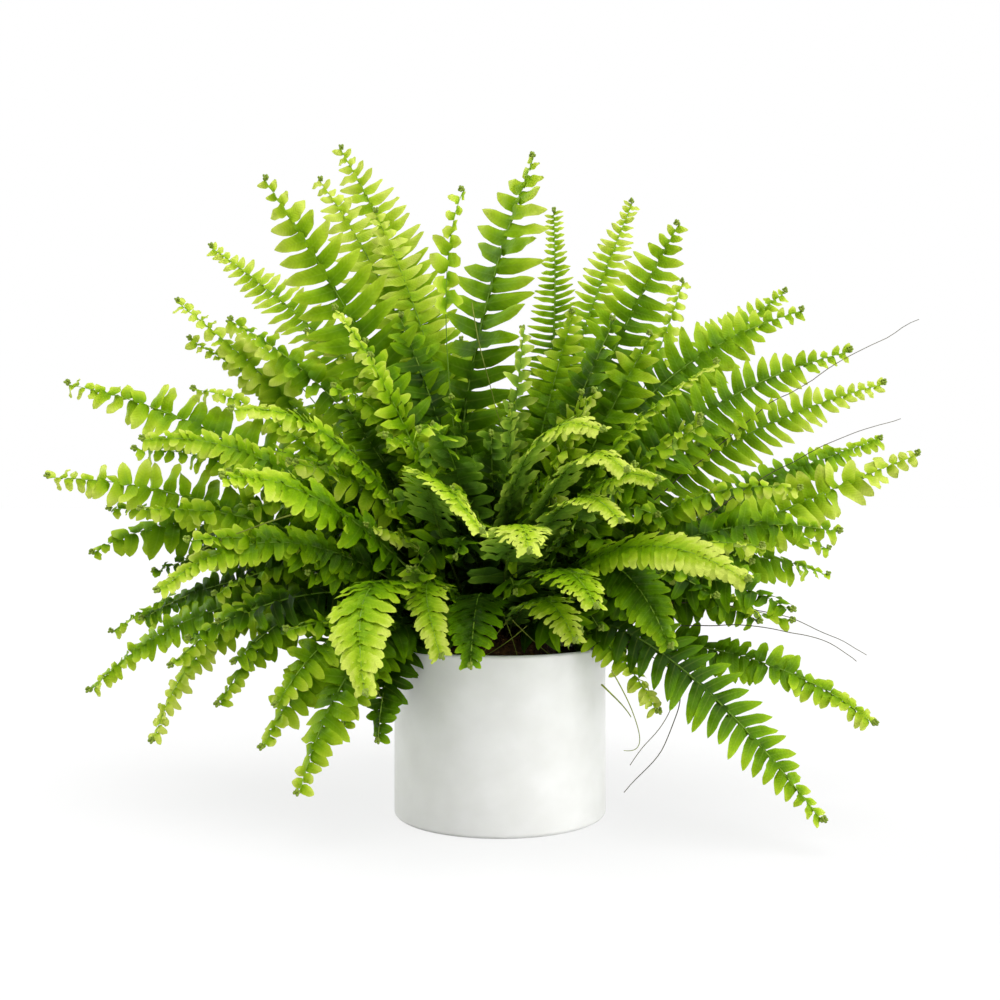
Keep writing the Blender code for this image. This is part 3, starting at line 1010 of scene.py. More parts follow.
@dataclass(frozen=True)
class Thicket:
    """Short fronds that fill the plant out, set all round the crown by a rule.

    Reaches, lengths and the least height over the crown are in millimetres, rises and dips in
    degrees, and green is the share of its fronds that are not of the darker tone.
    """

    count: int
    seed: int
    knee_reach: tuple[float, float]
    knee_rise: tuple[float, float]
    tip_reach: tuple[float, float]
    dip: tuple[float, float]
    length: tuple[float, float]
    tones: tuple[Tone, Tone]
    green: float
    habit: Habit
    forward: float = 0.48
    least_height: float = 26.0
    golden_angle: ClassVar[float] = 2.39996

    def fronds(self, crown: Crown) -> list[Frond]:
        """Works out the fronds.

        Args:
            crown: what they grow from.

        Returns:
            The fronds, lowest first.
        """
        draw = random.Random(self.seed)
        foot = crown.place / MM
        low, high = self.knee_rise
        made = []
        for number in range(self.count):
            angle = number * self.golden_angle + self.seed
            rise = math.radians(low + (number + 0.5) / self.count * (high - low))
            drop = rise - math.radians(draw.uniform(*self.dip))
            points = []
            for reach, tilt in ((self.knee_reach, rise), (self.tip_reach, drop)):
                far = draw.uniform(*reach)
                out = Vector((math.cos(angle), math.sin(angle), 0.0)) * math.cos(tilt) * far
                out.y *= self.forward if out.y < 0 else 1.0
                out.z = max(math.sin(tilt) * far, self.least_height)
                points.append(tuple(foot + out))
            tone = self.tones[int(draw.random() < self.green)]
            turn = draw.uniform(10.0, 55.0)
            long = draw.uniform(*self.length)
            made.append(Frond(points[0], points[1], turn, long, tone, self.habit))
        return made


THICKETS = (
    # Mostly of the darkest tone: painted shade for the plant's dark core, on top of the shade the
    # fronds cast themselves.
    Thicket(
        count=54,
        seed=5,
        knee_reach=(85.0, 160.0),
        knee_rise=(20.0, 74.0),
        tip_reach=(125.0, 215.0),
        dip=(16.0, 40.0),
        length=(20.0, 30.0),
        tones=(Tone.DEEP, Tone.GREEN),
        green=0.12,
        habit=Habit.LAX,
    ),
    Thicket(
        count=48,
        seed=8,
        knee_reach=(110.0, 185.0),
        knee_rise=(18.0, 68.0),
        tip_reach=(190.0, 262.0),
        dip=(8.0, 26.0),
        length=(15.0, 22.0),
        tones=(Tone.GREEN, Tone.FRESH),
        green=0.45,
        habit=Habit.RAGGED,
    ),
    Thicket(
        count=16,
        seed=3,
        knee_reach=(110.0, 150.0),
        knee_rise=(60.0, 84.0),
        tip_reach=(185.0, 265.0),
        dip=(0.0, 10.0),
        length=(22.0, 30.0),
        tones=(Tone.DEEP, Tone.GREEN),
        green=0.6,
        habit=Habit.UPRIGHT,
    ),
)


@dataclass(frozen=True)
class Runner:
    """A runner: where it bends and ends, and where it starts if that isn't the crown's side.

    Places are in millimetres, and thick is a share of the usual thickness.
    """

    knee: tuple[float, float, float]
    tip: tuple[float, float, float]
    start: tuple[float, float, float] | None = None
    thick: float = 1.0


RUNNERS = (
    Runner((160, 15, 287), (305, 20, 354)),
    Runner((175, 20, 240), (293, 30, 285)),
    Runner((150, -30, 181), (253, -30, 115)),
    Runner((200, -50, 152), (236, -60, 115)),
    Runner((180, -60, 131), (82, -60, 28)),
    Runner((172, -75, 140), (83, -85, 50)),
)

# Thin strings that cross the soil and hang at the pot's side.
STRINGS = (
    Runner((104, -92, 58), (80, -90, 62), (72, -84, 112), 0.9),
    Runner((80, -86, 90), (84, -90, 83), (66, -78, 102), 1.2),
    Runner((6, -56, 140), (13, -62, 114), (-2, -44, 152), 0.8),
    Runner((-12, -60, 124), (-14, -66, 113), (12, -50, 148), 0.7),
    Runner((-2, -62, 121), (-20, -64, 114), (18, -56, 138), 0.7),
    Runner((28, -64, 122), (40, -60, 113), (8, -56, 142), 0.7),
    Runner((-14, -4, 320), (6, -10, 262), (-20, -4, 362), 0.9),
    Runner((-90, -66, 110), (-76, -80, 92), (-104, -60, 132), 0.8),
    Runner((-172, -84, 202), (-204, -84, 184), (-130, -78, 214), 1.1),
)


@dataclass(frozen=True)
class Crown:
    """The woody crown on the soil, which every frond and runner grows from.

    Its lumpy side starts at edge above its base, and lump pitch is in lumps to the metre.
    """

    radius: float = 0.044
    height: float = 0.018
    place: Vector = Vector((-0.004, 0.006, 0.1123))
    seat_spread: float = 0.80
    seat_lift: float = 0.0012
    steps: int = 40
    rings: int = 12
    gap: float = 0.0005
    edge: float = 0.001
    lump: float = 0.0012
    lump_pitch: float = 180.0

    def seat(self, knee: Vector) -> Vector:
        """Where on the crown a stem starts: on the side that its knee is on.

        Args:
            knee: the point that the stem bends towards.

        Returns:
            Its start.
        """
        out = knee - self.place
        level = out.xy.length
        reach = self.seat_spread * self.radius * level / out.length
        height = self.height * math.sqrt(1.0 - (reach / self.radius) ** 2)
        side = out.xy / level * reach
        return self.place + Vector((side.x, side.y, height + self.seat_lift))

    def build(self, scatter: Scatter, scales: bpy.types.Collection, bark: Any) -> None:
        """Builds the mound and its scales, and dresses it.

        Args:
            scatter: what sows scales over a surface.
            scales: the scales to choose from.
            bark: its material.
        """
        profile = [(self.radius * share, self.gap) for share in (0.0, 0.5, 0.97)]
        for ring in range(self.rings + 1):
            angle = math.pi / 2 * ring / self.rings
            radius = self.radius * math.cos(angle) if ring < self.rings else 0.0
            profile.append((radius, self.edge + (self.height - self.edge) * math.sin(angle)))
        mound = turned("crown_mound", profile, self.steps, self.place)
        for vert in mound.vertices:
            if vert.co.z > self.place.z + 2 * self.edge:
                vert.co += vert.normal * self.lump * noise.noise(vert.co * self.lump_pitch)
        piece = scatter.sow(
            "fern_crown", mound, scales, bark, count=420, least=0.8, most=1.35, seed=7, lie=0.5
        )
        settle([piece])
        finish_piece(piece, "crown", "crown")


class Scatter(NodeShape):
    """Sows small shapes over the upward faces of a surface, such as crumbs over soil."""

    tilt: ClassVar[float] = 0.6
    kinds: ClassVar[int] = 30
    ground_odd: ClassVar[float] = 0.4
    odd_seed: ClassVar[int] = 91

    def __init__(self) -> None:
        """Builds the tree."""
        super().__init__(
            "sow_over_surface",
            {
                "Surface": "Object",
                "Grains": "Collection",
                **dict.fromkeys(("Density", "Least Size", "Most Size", "Lie", "Lowest"), "Float"),
                "Seed": "Int",
                "Finish": "Material",
            },
        )
        given = self.given
        base = self.add(
            "GeometryNodeObjectInfo", {"Object": given["Surface"]}, transform_space="ORIGINAL"
        ).outputs["Geometry"]
        normal = self.add("GeometryNodeInputNormal").outputs["Normal"]
        split = self.add("ShaderNodeSeparateXYZ", (normal,))
        upward = self.add(MATH, (split.outputs["Z"], given["Lowest"]), operation="GREATER_THAN")
        sown = self.add(
            "GeometryNodeDistributePointsOnFaces",
            {
                "Mesh": base,
                "Selection": upward,
                "Density": given["Density"],
                "Seed": given["Seed"],
            },
        )
        wobble = self.add(
            RANDOM,
            {
                0: (-self.tilt, -self.tilt, -math.pi),
                1: (self.tilt, self.tilt, math.pi),
                8: given["Seed"],
            },
            data_type="FLOAT_VECTOR",
        )
        turn = self.add("FunctionNodeEulerToRotation", (wobble,))
        facing = self.add(
            "FunctionNodeRotateRotation",
            (sown.outputs["Rotation"], turn),
            rotation_space="LOCAL",
        )
        size = self.add(
            RANDOM,
            {2: given["Least Size"], 3: given["Most Size"], 8: given["Seed"]},
            data_type="FLOAT",
        )
        flat = self.add("ShaderNodeCombineXYZ", (size, size, given["Lie"]))
        grains = self.add(
            "GeometryNodeCollectionInfo",
            {"Collection": given["Grains"], "Separate Children": True, "Reset Children": True},
        )
        pick = self.add(RANDOM, {4: 0, 5: self.kinds, 8: given["Seed"]}, data_type="INT")
        sprinkled = self.add(
            "GeometryNodeInstanceOnPoints",
            (sown.outputs["Points"], None, grains, True, pick, facing, flat),
        )
        odd = self.add(RANDOM, {2: 0.0, 3: 1.0, 8: self.odd_seed}, data_type="FLOAT")
        sprinkled = self.add(
            STORE, (sprinkled, None, "odd", odd), data_type="FLOAT", domain="INSTANCE"
        )
        ground = self.add(
            STORE, (base, None, "odd", self.ground_odd), data_type="FLOAT", domain="POINT"
        )
        joined = self.add("GeometryNodeJoinGeometry", {0: [ground, sprinkled]})
        self.end(joined, (given["Finish"], None))

    def sow(
        self,
        name: str,
        surface: bpy.types.Mesh,
        grains: bpy.types.Collection,
        finish: bpy.types.Material,
        count: int,
        least: float,
        most: float,
        seed: int,
        lie: float = 1.0,
        lowest: float = 0.25,
    ) -> bpy.types.Object:
        """Sows grains over a surface, which stays under them.

        Args:
            name: the new object's name.
            surface: the mesh that they lie on.
            grains: the shapes to choose from.
            finish: the material of both.
            count: about how many there are.
            least: the smallest one's scale.
            most: the largest one's scale.
            seed: what its random numbers start from.
            lie: the scale of their height.
            lowest: how far upward a face points to get any, as its normal's Z.

        Returns:
            The object, with its modifier live.
        """
        ground = bpy.data.objects.new(name + "_ground", surface)
        area = sum(p.area for p in surface.polygons if p.normal.z > lowest)
        values = {
            "Surface": ground,
            "Grains": grains,
            "Density": count / area,
            "Least Size": least,
            "Most Size": most,
            "Lie": lie,
            "Lowest": lowest,
            "Seed": seed,
            "Finish": finish,
        }
        return self.plant(name, values)


class FrondShape(NodeShape):
    """Grows a frond along a bent stalk: two rows of leaflets, the stalk and its curled bud.

    The leaflets stand closer together and grow shorter towards the tip. From the share first of
    the stalk they grow from the share start of their length, and are longest at the share widest.
    Own size is how much their lengths vary, and twist is each axis's share of the wobble.
    """

    first: ClassVar[float] = 0.05
    own_size: ClassVar[tuple[float, float]] = (0.9, 1.04)
    twist: ClassVar[tuple[float, float, float]] = (1.0, 0.6, 0.4)
    widest: ClassVar[float] = 0.40
    start: ClassVar[float] = 0.55
    crowding: ClassVar[float] = 1.10
    shortest: ClassVar[float] = 8.0 * MM
    path_steps: ClassVar[int] = 36
    stalk_sides: ClassVar[int] = 6
    stalk_tip: ClassVar[float] = 0.30
    least_slim: ClassVar[float] = 0.85
    moods: ClassVar[float] = 0.08
    bud_size: ClassVar[float] = 1.25
    stalk_radius: ClassVar[float] = 0.85 * MM
    from_growth: ClassVar[tuple[str, ...]] = (
        "bare", "fullness", "taper", "wobble", "lean", "rise", "sag",
    )

    def __init__(self, stock: PartsBin, stalk: bpy.types.Material) -> None:
        """Builds the tree.

        Args:
            stock: the leaflets and the bud.
            stalk: the stalk's material.
        """
        super().__init__(
            "fern_frond",
            {
                **dict.fromkeys(("Seat", "Knee", "Tip"), "Vector"),
                **dict.fromkeys(("Turn", "Leaflet Length", "Spacing", "Mood"), "Float"),
                **dict.fromkeys((field.title() for field in self.from_growth), "Float"),
                **dict.fromkeys(("Stalk Radius", "Bud Size"), "Float"),
                **dict.fromkeys(("First Leaflet", "Seed"), "Int"),
                "Leaf": "Material",
            },
        )
        self.stock = stock
        self.stalk = stalk
        self.curve = self.add(
            "GeometryNodeCurveQuadraticBezier",
            (self.path_steps, self.given["Seat"], self.given["Knee"], self.given["Tip"]),
        )
        parts = [self._leaflets(), self._stalk(), self._bud()]
        joined = self.add("GeometryNodeJoinGeometry", {0: parts})
        stem = self.add("GeometryNodeInputNamedAttribute", ("stem",), data_type="FLOAT")
        skin = self.add("GeometryNodeInputMaterial")
        skin.material = stalk
        self.end(joined, (self.given["Leaf"], None), (skin, stem.outputs[0]))

    def _leaflets(self) -> Any:
        """The two rows of leaflets, as instances."""
        add, given = self.add, self.given
        length = add("GeometryNodeCurveLength", (self.curve,))
        covered = add(MATH, (1.0, given["Bare"]), operation="SUBTRACT")
        leafy = add(MATH, (length, covered), operation="MULTIPLY")
        pairs = add(MATH, (leafy, given["Spacing"]), operation="DIVIDE")
        count = add(MATH, (pairs, 2.0), operation="MULTIPLY")
        count = add(MATH, (count,), operation="CEIL")
        index = add("GeometryNodeInputIndex")
        middle = add(MATH, (index, 0.5), operation="ADD")
        done = add(MATH, (middle, count), operation="DIVIDE")
        rest = add(MATH, (1.0, done), operation="SUBTRACT")
        eased = add(MATH, (rest, self.crowding), operation="POWER")
        eased = add(MATH, (eased, covered), operation="MULTIPLY")
        share = add(MATH, (1.0, eased), operation="SUBTRACT")
        spot = add(
            "GeometryNodeSampleCurve", {"Curves": self.curve, "Factor": share}, mode="FACTOR"
        )
        points = add("GeometryNodePoints", (count, spot.outputs["Position"]))

        along = spot.outputs["Tangent"]
        out = add(VECTOR, (given["Tip"], given["Seat"]), operation="SUBTRACT")
        level = add(VECTOR, ((0.0, 0.0, 1.0), out), operation="CROSS_PRODUCT")
        lengthwise = add(VECTOR, (level, along), operation="PROJECT")
        side = add(VECTOR, (level, lengthwise), operation="SUBTRACT")
        side = add(VECTOR, (side,), operation="NORMALIZE")
        spin = {"Vector": side, "Axis": along, "Angle": given["Turn"]}
        side = add("ShaderNodeVectorRotate", spin)
        above = add(VECTOR, (along, side), operation="CROSS_PRODUCT")
        hand = add(MATH, (index, 2.0), operation="MODULO")
        sign = add(MATH, (hand, -2.0, 1.0), operation="MULTIPLY_ADD")
        aim = add(VECTOR, {0: side, "Scale": sign}, operation="SCALE")
        raised = add(VECTOR, {0: above, "Scale": given["Rise"]}, operation="SCALE")
        leant = add(VECTOR, {0: along, "Scale": given["Lean"]}, operation="SCALE")
        sunk = add(VECTOR, {0: (0.0, 0.0, -1.0), "Scale": given["Sag"]}, operation="SCALE")
        for change in (raised, leant, sunk):
            aim = add(VECTOR, (aim, change), operation="ADD")
        facing = add(
            "FunctionNodeAxesToRotation", (aim, along), primary_axis="X", secondary_axis="Y"
        )
        most = add(VECTOR, {0: self.twist, "Scale": given["Wobble"]}, operation="SCALE")
        least = add(VECTOR, {0: most, "Scale": -1.0}, operation="SCALE")
        twist = add(RANDOM, {0: least, 1: most, 8: given["Seed"]}, data_type="FLOAT_VECTOR")
        twist = add("FunctionNodeEulerToRotation", (twist,))
        facing = add("FunctionNodeRotateRotation", (facing, twist), rotation_space="LOCAL")

        rising = add(RANGE, (share, self.first, self.widest, self.start, 1.0))
        falling = add(RANGE, (share, self.widest, 1.0, 0.0, 1.0))
        falling = add(MATH, (falling, given["Taper"]), operation="POWER")
        falling = add(MATH, (1.0, falling), operation="SUBTRACT")
        grown = add(MATH, (rising, falling), operation="MULTIPLY")
        small, large = self.own_size
        own = add(RANDOM, {2: small, 3: large, 8: given["Seed"]}, data_type="FLOAT")
        long = add(MATH, (grown, own), operation="MULTIPLY")
        long = add(MATH, (long, given["Leaflet Length"]), operation="MULTIPLY")
        long = add(MATH, (long, self.shortest), operation="MAXIMUM")
        gap = add(MATH, (rest, self.crowding - 1.0), operation="POWER")
        gap = add(MATH, (gap, given["Spacing"]), operation="MULTIPLY")
        gap = add(MATH, (gap, self.crowding), operation="MULTIPLY")
        wide = add(MATH, (gap, given["Fullness"]), operation="MULTIPLY")
        slim = add(MATH, (long, self.least_slim), operation="MULTIPLY")
        wide = add(MATH, (wide, slim), operation="MINIMUM")
        size = add("ShaderNodeCombineXYZ", (long, wide, wide))

        kind = add(
            RANDOM, {4: 0, 5: VARIANTS - 1, 8: given["Seed"]}, data_type="INT"
        )
        pick = add(MATH, (kind, 2.0, given["First Leaflet"]), operation="MULTIPLY_ADD")
        pick = add(MATH, (pick, 1.0), operation="ADD")
        pick = add(MATH, (pick, hand), operation="SUBTRACT")
        stock = add(
            "GeometryNodeCollectionInfo",
            {"Collection": self.stock.leaflets, "Separate Children": True, "Reset Children": True},
        )
        leaves = add(
            "GeometryNodeInstanceOnPoints", (points, None, stock, True, pick, facing, size)
        )
        odd = add(RANDOM, {2: 0.0, 3: 1.0, 8: given["Seed"]}, data_type="FLOAT")
        for label, value in (("share", share), ("odd", odd), ("mood", given["Mood"])):
            leaves = add(STORE, (leaves, None, label, value), data_type="FLOAT", domain="INSTANCE")
        return leaves

    def _stalk(self) -> Any:
        """The stalk, as a tapered tube with closed ends."""
        add = self.add
        factor = add("GeometryNodeSplineParameter").outputs["Factor"]
        line = add(STORE, (self.curve, None, "share", factor), data_type="FLOAT", domain="POINT")
        ring = add(
            "GeometryNodeCurvePrimitiveCircle",
            {"Resolution": self.stalk_sides, "Radius": self.given["Stalk Radius"]},
        )
        thin = add(RANGE, (factor, 0.0, 1.0, 1.0, self.stalk_tip))
        tube = add("GeometryNodeCurveToMesh", (line, ring, thin, True))
        return add(STORE, (tube, None, "stem", 1.0), data_type="FLOAT", domain="POINT")

    def _bud(self) -> Any:
        """The curled bud, as an instance at the stalk's end."""
        add, given = self.add, self.given
        bud = add("GeometryNodeObjectInfo", (self.stock.bud,), transform_space="ORIGINAL")
        end = add("GeometryNodePoints", (1, given["Tip"]))
        ahead = add(VECTOR, (given["Tip"], given["Knee"]), operation="SUBTRACT")
        facing = add(
            "FunctionNodeAxesToRotation", (ahead, (0.0, 0.0, 1.0)),
            primary_axis="X", secondary_axis="Z",
        )
        size = add("ShaderNodeCombineXYZ", (given["Bud Size"],) * 3)
        return add(
            "GeometryNodeInstanceOnPoints",
            (end, None, bud.outputs["Geometry"], None, None, facing, size),
        )

    def grow(
        self, name: str, frond: Frond, crown: Crown, leaf: bpy.types.Material, seed: int
    ) -> bpy.types.Object:
        """Grows one frond.

        Args:
            name: the object's name.
            frond: what it is like.
            crown: what it grows from.
            leaf: the leaflets' material.
            seed: what its random numbers start from.

        Returns:
            The object, with its modifier live.
        """
        knee, tip = Vector(frond.knee) * MM, Vector(frond.tip) * MM
        growth: Growth = frond.habit.value
        long = frond.length * growth.reach * MM
        turn = frond.turn if frond.tip[0] >= 0 else -frond.turn
        values = {field.title(): getattr(growth, field) for field in self.from_growth}
        values |= {
            "Seat": crown.seat(knee),
            "Knee": knee,
            "Tip": tip,
            "Turn": math.radians(turn),
            "Leaflet Length": long,
            "Spacing": long * growth.spacing,
            "Stalk Radius": self.stalk_radius,
            "Bud Size": self.bud_size,
            "First Leaflet": growth.blade.first,
            "Mood": growth.light + random.Random(seed).uniform(-self.moods, self.moods),
            "Seed": seed,
            "Leaf": leaf,
        }
        return self.plant(name, values)


class RunnerShape(NodeShape):
    """Grows a thin bare runner along a bent path that wavers a little."""

    steps: ClassVar[int] = 48
    sides: ClassVar[int] = 6
    waver_length: ClassVar[float] = 45 * MM
    thin_tip: ClassVar[float] = 0.45

    def __init__(self) -> None:
        """Builds the tree."""
        super().__init__(
            "fern_runner",
            {
                **dict.fromkeys(("Seat", "Knee", "Tip"), "Vector"),
                **dict.fromkeys(("Radius", "Waver", "Seed"), "Float"),
                "Skin": "Material",
            },
        )
        add, given = self.add, self.given
        bends = (self.steps, given["Seat"], given["Knee"], given["Tip"])
        line = add("GeometryNodeCurveQuadraticBezier", bends)
        factor = add("GeometryNodeSplineParameter").outputs["Factor"]
        place = add("GeometryNodeInputPosition")
        drift = add(
            NOISE,
            {"Vector": place, "W": given["Seed"], "Scale": 1 / self.waver_length, "Detail": 1.0},
            noise_dimensions="4D",
        ).outputs["Color"]
        drift = add(VECTOR, (drift, (0.5, 0.5, 0.5)), operation="SUBTRACT")
        reach = add(MATH, (factor, given["Waver"]), operation="MULTIPLY")
        drift = add(VECTOR, {0: drift, "Scale": reach}, operation="SCALE")
        line = add("GeometryNodeSetPosition", {"Geometry": line, "Offset": drift})
        ring = add(
            "GeometryNodeCurvePrimitiveCircle",
            {"Resolution": self.sides, "Radius": given["Radius"]},
        )
        thin = add(RANGE, (factor, 0.0, 1.0, 1.0, self.thin_tip))
        tube = add("GeometryNodeCurveToMesh", (line, ring, thin, True))
        self.end(tube, (given["Skin"], None))


@dataclass
class PartsBin:
    """The small shapes that the trees place many times, kept out of the scene."""

    seed: int = 11
    lump_radius: float = 1.0 * MM

    def build(self) -> None:
        """Makes the leaflets, the bud, the soil crumbs and the crown's scales."""
        draw = random.Random(self.seed)
        self.leaflets = bpy.data.collections.new("leaflets")
        for blade in Blade:
            for number in range(VARIANTS):
                leaflet = Leaflet.drawn(draw, blade.value)
                for hand in ("a", "b"):
                    name = f"leaflet_{blade.first + number * 2:02d}{hand}"
                    mesh = leaflet.mesh(name, mirrored=hand == "b")
                    self.leaflets.objects.link(bpy.data.objects.new(name, mesh))
        self.bud = bpy.data.objects.new("curled_bud", CurledBud().mesh("curled_bud"))
        self.crumbs = self._lumps("crumb", 6, (1.0, 1.0, 0.8), 0.45, draw)
        self.scales = self._lumps("scale", 4, (0.5, 2.6, 0.45), 0.25, draw)

    def _lumps(
        self,
        name: str,
        count: int,
        stretch: tuple[float, float, float],
        rough: float,
        draw: random.Random,
    ) -> bpy.types.Collection:
        """Makes a few uneven lumps.

        Args:
            name: what they are called.
            count: how many there are.
            stretch: how far each is stretched along X, Y and Z.
            rough: how uneven they are, as a share of the radius.
            draw: where their random numbers come from.

        Returns:
            The collection that holds them.
        """
        made = bpy.data.collections.new(name + "s")
        for number in range(count):
            bm = bmesh.new()
            bmesh.ops.create_icosphere(bm, subdivisions=1, radius=1.0)
            shift = Vector([draw.uniform(0.0, 50.0) for _ in range(3)])
            for vert in bm.verts:
                swell = 1.0 + rough * noise.noise(vert.co * 1.6 + shift) * 1.6
                vert.co = Vector(
                    [c * s * self.lump_radius * swell for c, s in zip(vert.co, stretch)]
                )
            mesh = mesh_from(bm, f"{name}_{number}")
            made.objects.link(bpy.data.objects.new(f"{name}_{number}", mesh))
        return made

    def clear(self) -> None:
        """Removes the shapes, once nothing grows from them."""
        for group in (self.leaflets, self.crumbs, self.scales):
            for obj in list(group.objects):
                bpy.data.objects.remove(obj)
            bpy.data.collections.remove(group)
        bpy.data.objects.remove(self.bud)
        for obj in [o for o in bpy.data.objects if o.name.endswith("_ground")]:
            bpy.data.objects.remove(obj)


@dataclass(frozen=True)
class Pot:
    """The pot: straight sides, a thin round lip and a softly rounded foot."""

    radius: float = 0.075
    height: float = 0.120
    wall: float = 0.005
    floor: float = 0.009
    foot: float = 0.003
    steps: int = 144
    arc_steps: int = 8

    def build(self, finish: bpy.types.Material) -> None:
        """Turns the pot and dresses it."""
        lip = self.wall / 2
        inner = self.radius - self.wall
        n = self.arc_steps
        profile = [(0.0, self.floor), (inner * 0.5, self.floor)]
        profile += arc((inner - self.foot, self.floor + self.foot), self.foot, -90, 0, n)
        profile += arc((self.radius - lip, self.height - lip), lip, 180, 0, n)
        profile += arc((self.radius - self.foot, self.foot), self.foot, 0, -90, n)
        profile += [(self.radius * 0.5, 0.0), (0.0, 0.0)]
        piece = add_object("ceramic_pot", turned("ceramic_pot", profile, self.steps))
        piece.data.materials.append(finish)
        finish_piece(piece, "pot", "pot")


@dataclass(frozen=True)
class Soil:
    """The soil: an uneven top with crumbs on it, a little below the pot's lip.

    Heave is the height of its humps, and the pitches are in humps and clods to the metre.
    """

    radius: float = 0.0697
    top: float = 0.112
    base: float = 0.0093
    foot: float = 0.003
    steps: int = 96
    rings: int = 22
    heave: float = 0.0016
    hump_pitch: float = 70.0
    clod_pitch: float = 210.0

    def build(self, scatter: Scatter, crumbs: bpy.types.Collection, peat: Any) -> None:
        """Builds the plug and its crumbs, and dresses them.

        Args:
            scatter: what sows crumbs over a surface.
            crumbs: the crumbs to choose from.
            peat: its material.
        """
        profile = [(self.radius * ring / self.rings, self.top) for ring in range(self.rings + 1)]
        profile += arc((self.radius - self.foot, self.base + self.foot), self.foot, 0, -90, 4)
        profile += [(self.radius * 0.5, self.base), (0.0, self.base)]
        mesh = turned("soil_plug", profile, self.steps)
        for vert in mesh.vertices:
            if vert.co.z > self.top - 0.001:
                humps = noise.noise(vert.co * self.hump_pitch)
                clods = noise.noise(vert.co * self.clod_pitch)
                vert.co.z += self.heave * (humps + 0.5 * clods - 0.3)
        piece = scatter.sow(
            "potting_soil", mesh, crumbs, peat, count=1500, least=0.35, most=1.7, seed=3,
            lowest=0.6,
        )
        settle([piece])
        finish_piece(piece, "soil", "soil")


@dataclass(frozen=True)
class Fern:
    """The leaves: every frond, and the runners."""

    runner_radius: float = 0.55 * MM
    runner_waver: float = 14 * MM
    string_waver: float = 5 * MM

    def build(self, crown: Crown, stock: PartsBin) -> None:
        """Grows and dresses the fronds and runners.

        Args:
            crown: what they grow from.
            stock: the leaflets and the bud.
        """
        leaves = {tone: FernLeaf().build(f"fern_{tone.slot}", tone.youth) for tone in Tone}
        shape = FrondShape(stock, FernStalk().build("fern_stalk"))
        grown = []
        inner = list(INNER_FRONDS)
        for thicket in THICKETS:
            inner += thicket.fronds(crown)
        for group, name, nodes in (
            (FRONDS, "fern_frond", "frond_{:02d}"),
            (inner, "fern_inner_frond", ""),
        ):
            for number, frond in enumerate(group, 1):
                seed = number + (0 if nodes else INNER_SEED)
                leaf = leaves[frond.tone]
                piece = shape.grow(f"{name}_{number:02d}", frond, crown, leaf, seed)
                grown.append((piece, frond.tone.slot, nodes.format(number)))
        strands = RunnerShape()
        skins = (WIRY_SKIN.build(), YOUNG_SKIN.build())
        for number, runner in enumerate(RUNNERS + STRINGS, 1):
            loose = number > len(RUNNERS)
            knee = Vector(runner.knee) * MM
            start = Vector(runner.start) * MM if runner.start else crown.seat(knee)
            values = {
                "Seat": start,
                "Knee": knee,
                "Tip": Vector(runner.tip) * MM,
                "Radius": self.runner_radius * runner.thick,
                "Waver": self.string_waver if loose else self.runner_waver,
                "Seed": float(number),
                "Skin": skins[loose],
            }
            piece = strands.plant(f"fern_runner_{number:02d}", values)
            grown.append((piece, "runner", "" if loose else f"runner_{number}"))
        settle(piece for piece, _, _ in grown)
        for piece, slot, node in grown:
            finish_piece(piece, slot, *([node] if node else []))


@dataclass(frozen=True)
class Lamp:
    """A wide soft light a long way off: where it shines from, its spread in degrees, its power."""

    name: str
    source: tuple[float, float, float]
    spread: float
    power: float

    def build(self) -> None:
        """Adds the light."""
        light = bpy.data.lights.new(self.name, "SUN")
        light.angle = math.radians(self.spread)
        light.energy = self.power
        lamp = bpy.data.objects.new(self.name, light)
        lamp.location = self.source
        lamp.rotation_euler = (-Vector(self.source)).to_track_quat("-Z", "Y").to_euler()
        bpy.context.scene.collection.objects.link(lamp)


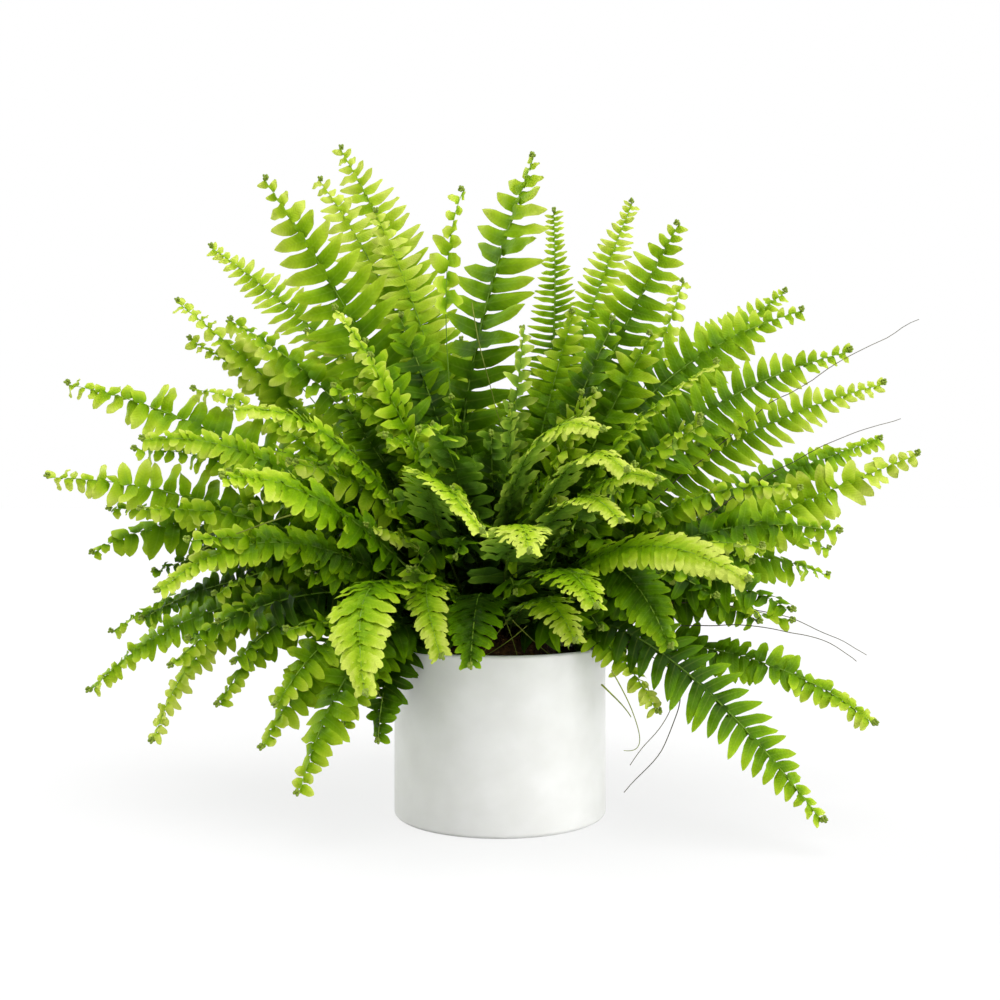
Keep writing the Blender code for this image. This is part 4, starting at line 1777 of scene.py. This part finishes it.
@dataclass(frozen=True)
class Studio:
    """A plain pale studio: floor, white surroundings, soft lamps and a level camera."""

    lamps: tuple[Lamp, ...] = (
        Lamp("key", (1.9, -2.0, 1.1), 50.0, 1.0),
        Lamp("side", (2.4, -0.9, 0.10), 70.0, 1.3),
        Lamp("kicker", (2.4, 0.45, 0.35), 40.0, 1.3),
        Lamp("top", (0.3, -0.7, 2.5), 60.0, 2.8),
        Lamp("rim", (-2.2, 0.9, 1.1), 50.0, 2.2),
    )
    camera_place: tuple[float, float, float] = (0.0, -0.89, 0.222)
    lens: float = 44.93
    floor_side: float = 60.0
    floor_colour: str = "d4d4d4"
    floor_glow: float = 0.74
    glow_power: float = 1.04
    above: float = 0.20
    horizon: float = 0.66
    band: float = 0.45

    def build(self) -> None:
        """Builds the floor, the surroundings, the lamps and the camera."""
        self._floor()
        self._surroundings()
        for lamp in self.lamps:
            lamp.build()
        data = bpy.data.cameras.new("camera")
        data.lens = self.lens
        data.sensor_width = 36.0
        camera = bpy.data.objects.new("camera", data)
        camera.location = self.camera_place
        camera.rotation_euler = (math.pi / 2, 0.0, 0.0)
        scene = bpy.context.scene
        scene.collection.objects.link(camera)
        scene.camera = camera
        scene.view_settings.view_transform = "Standard"

    def _floor(self) -> None:
        """A wide paper floor. It glows where it is seen, so that shadows on it stay faint."""
        half = self.floor_side / 2
        mesh = bpy.data.meshes.new("floor")
        corners = [(-half, -half, 0), (half, -half, 0), (half, half, 0), (-half, half, 0)]
        mesh.from_pydata(corners, [], [(0, 1, 2, 3)])
        floor = add_object("floor", mesh)
        material, tree, shader, output = new_material("white_paper")
        feed(tree, shader, {"Base Color": linear(self.floor_colour), "Roughness": 0.9})
        feed(tree, shader, {"Specular IOR Level": 0.0})
        glow = add_node(tree, "ShaderNodeEmission", (WHITE, self.glow_power))
        seen = add_node(tree, "ShaderNodeMixShader", (self.floor_glow, shader, glow))
        first = add_node(tree, "ShaderNodeLightPath").outputs["Is Camera Ray"]
        both = add_node(tree, "ShaderNodeMixShader", (first, shader, seen))
        feed(tree, output, {"Surface": both})
        mesh.materials.append(material)

    def _surroundings(self) -> None:
        """White surroundings that light the plant evenly."""
        world = bpy.data.worlds.new("studio")
        bpy.context.scene.world = world
        world.use_nodes = True
        tree = world.node_tree
        tree.nodes.clear()
        # The light comes mostly from low down all round, as it does between white screens.
        way = add_node(tree, "ShaderNodeTexCoord").outputs["Generated"]
        rise = add_node(tree, "ShaderNodeSeparateXYZ", (way,)).outputs["Z"]
        power = add_node(tree, RANGE, (rise, 0.0, self.band, self.horizon, self.above))
        soft = add_node(tree, "ShaderNodeBackground", (WHITE, power))
        seen = add_node(tree, "ShaderNodeBackground", (WHITE, 1.0))
        first = add_node(tree, "ShaderNodeLightPath").outputs["Is Camera Ray"]
        both = add_node(tree, "ShaderNodeMixShader", (first, soft, seen))
        add_node(tree, "ShaderNodeOutputWorld", (both,))


def main() -> None:
    """Builds the studio and the potted fern in order."""
    logging.basicConfig(level=logging.INFO, format="%(message)s")
    Studio().build()
    stock = PartsBin()
    stock.build()
    scatter = Scatter()
    crown = Crown()
    Pot().build(MattCeramic().build())
    Soil().build(scatter, stock.crumbs, PEAT.build())
    crown.build(scatter, stock.scales, BARK.build())
    Fern().build(crown, stock)
    stock.clear()


if __name__ == "__main__":
    main()
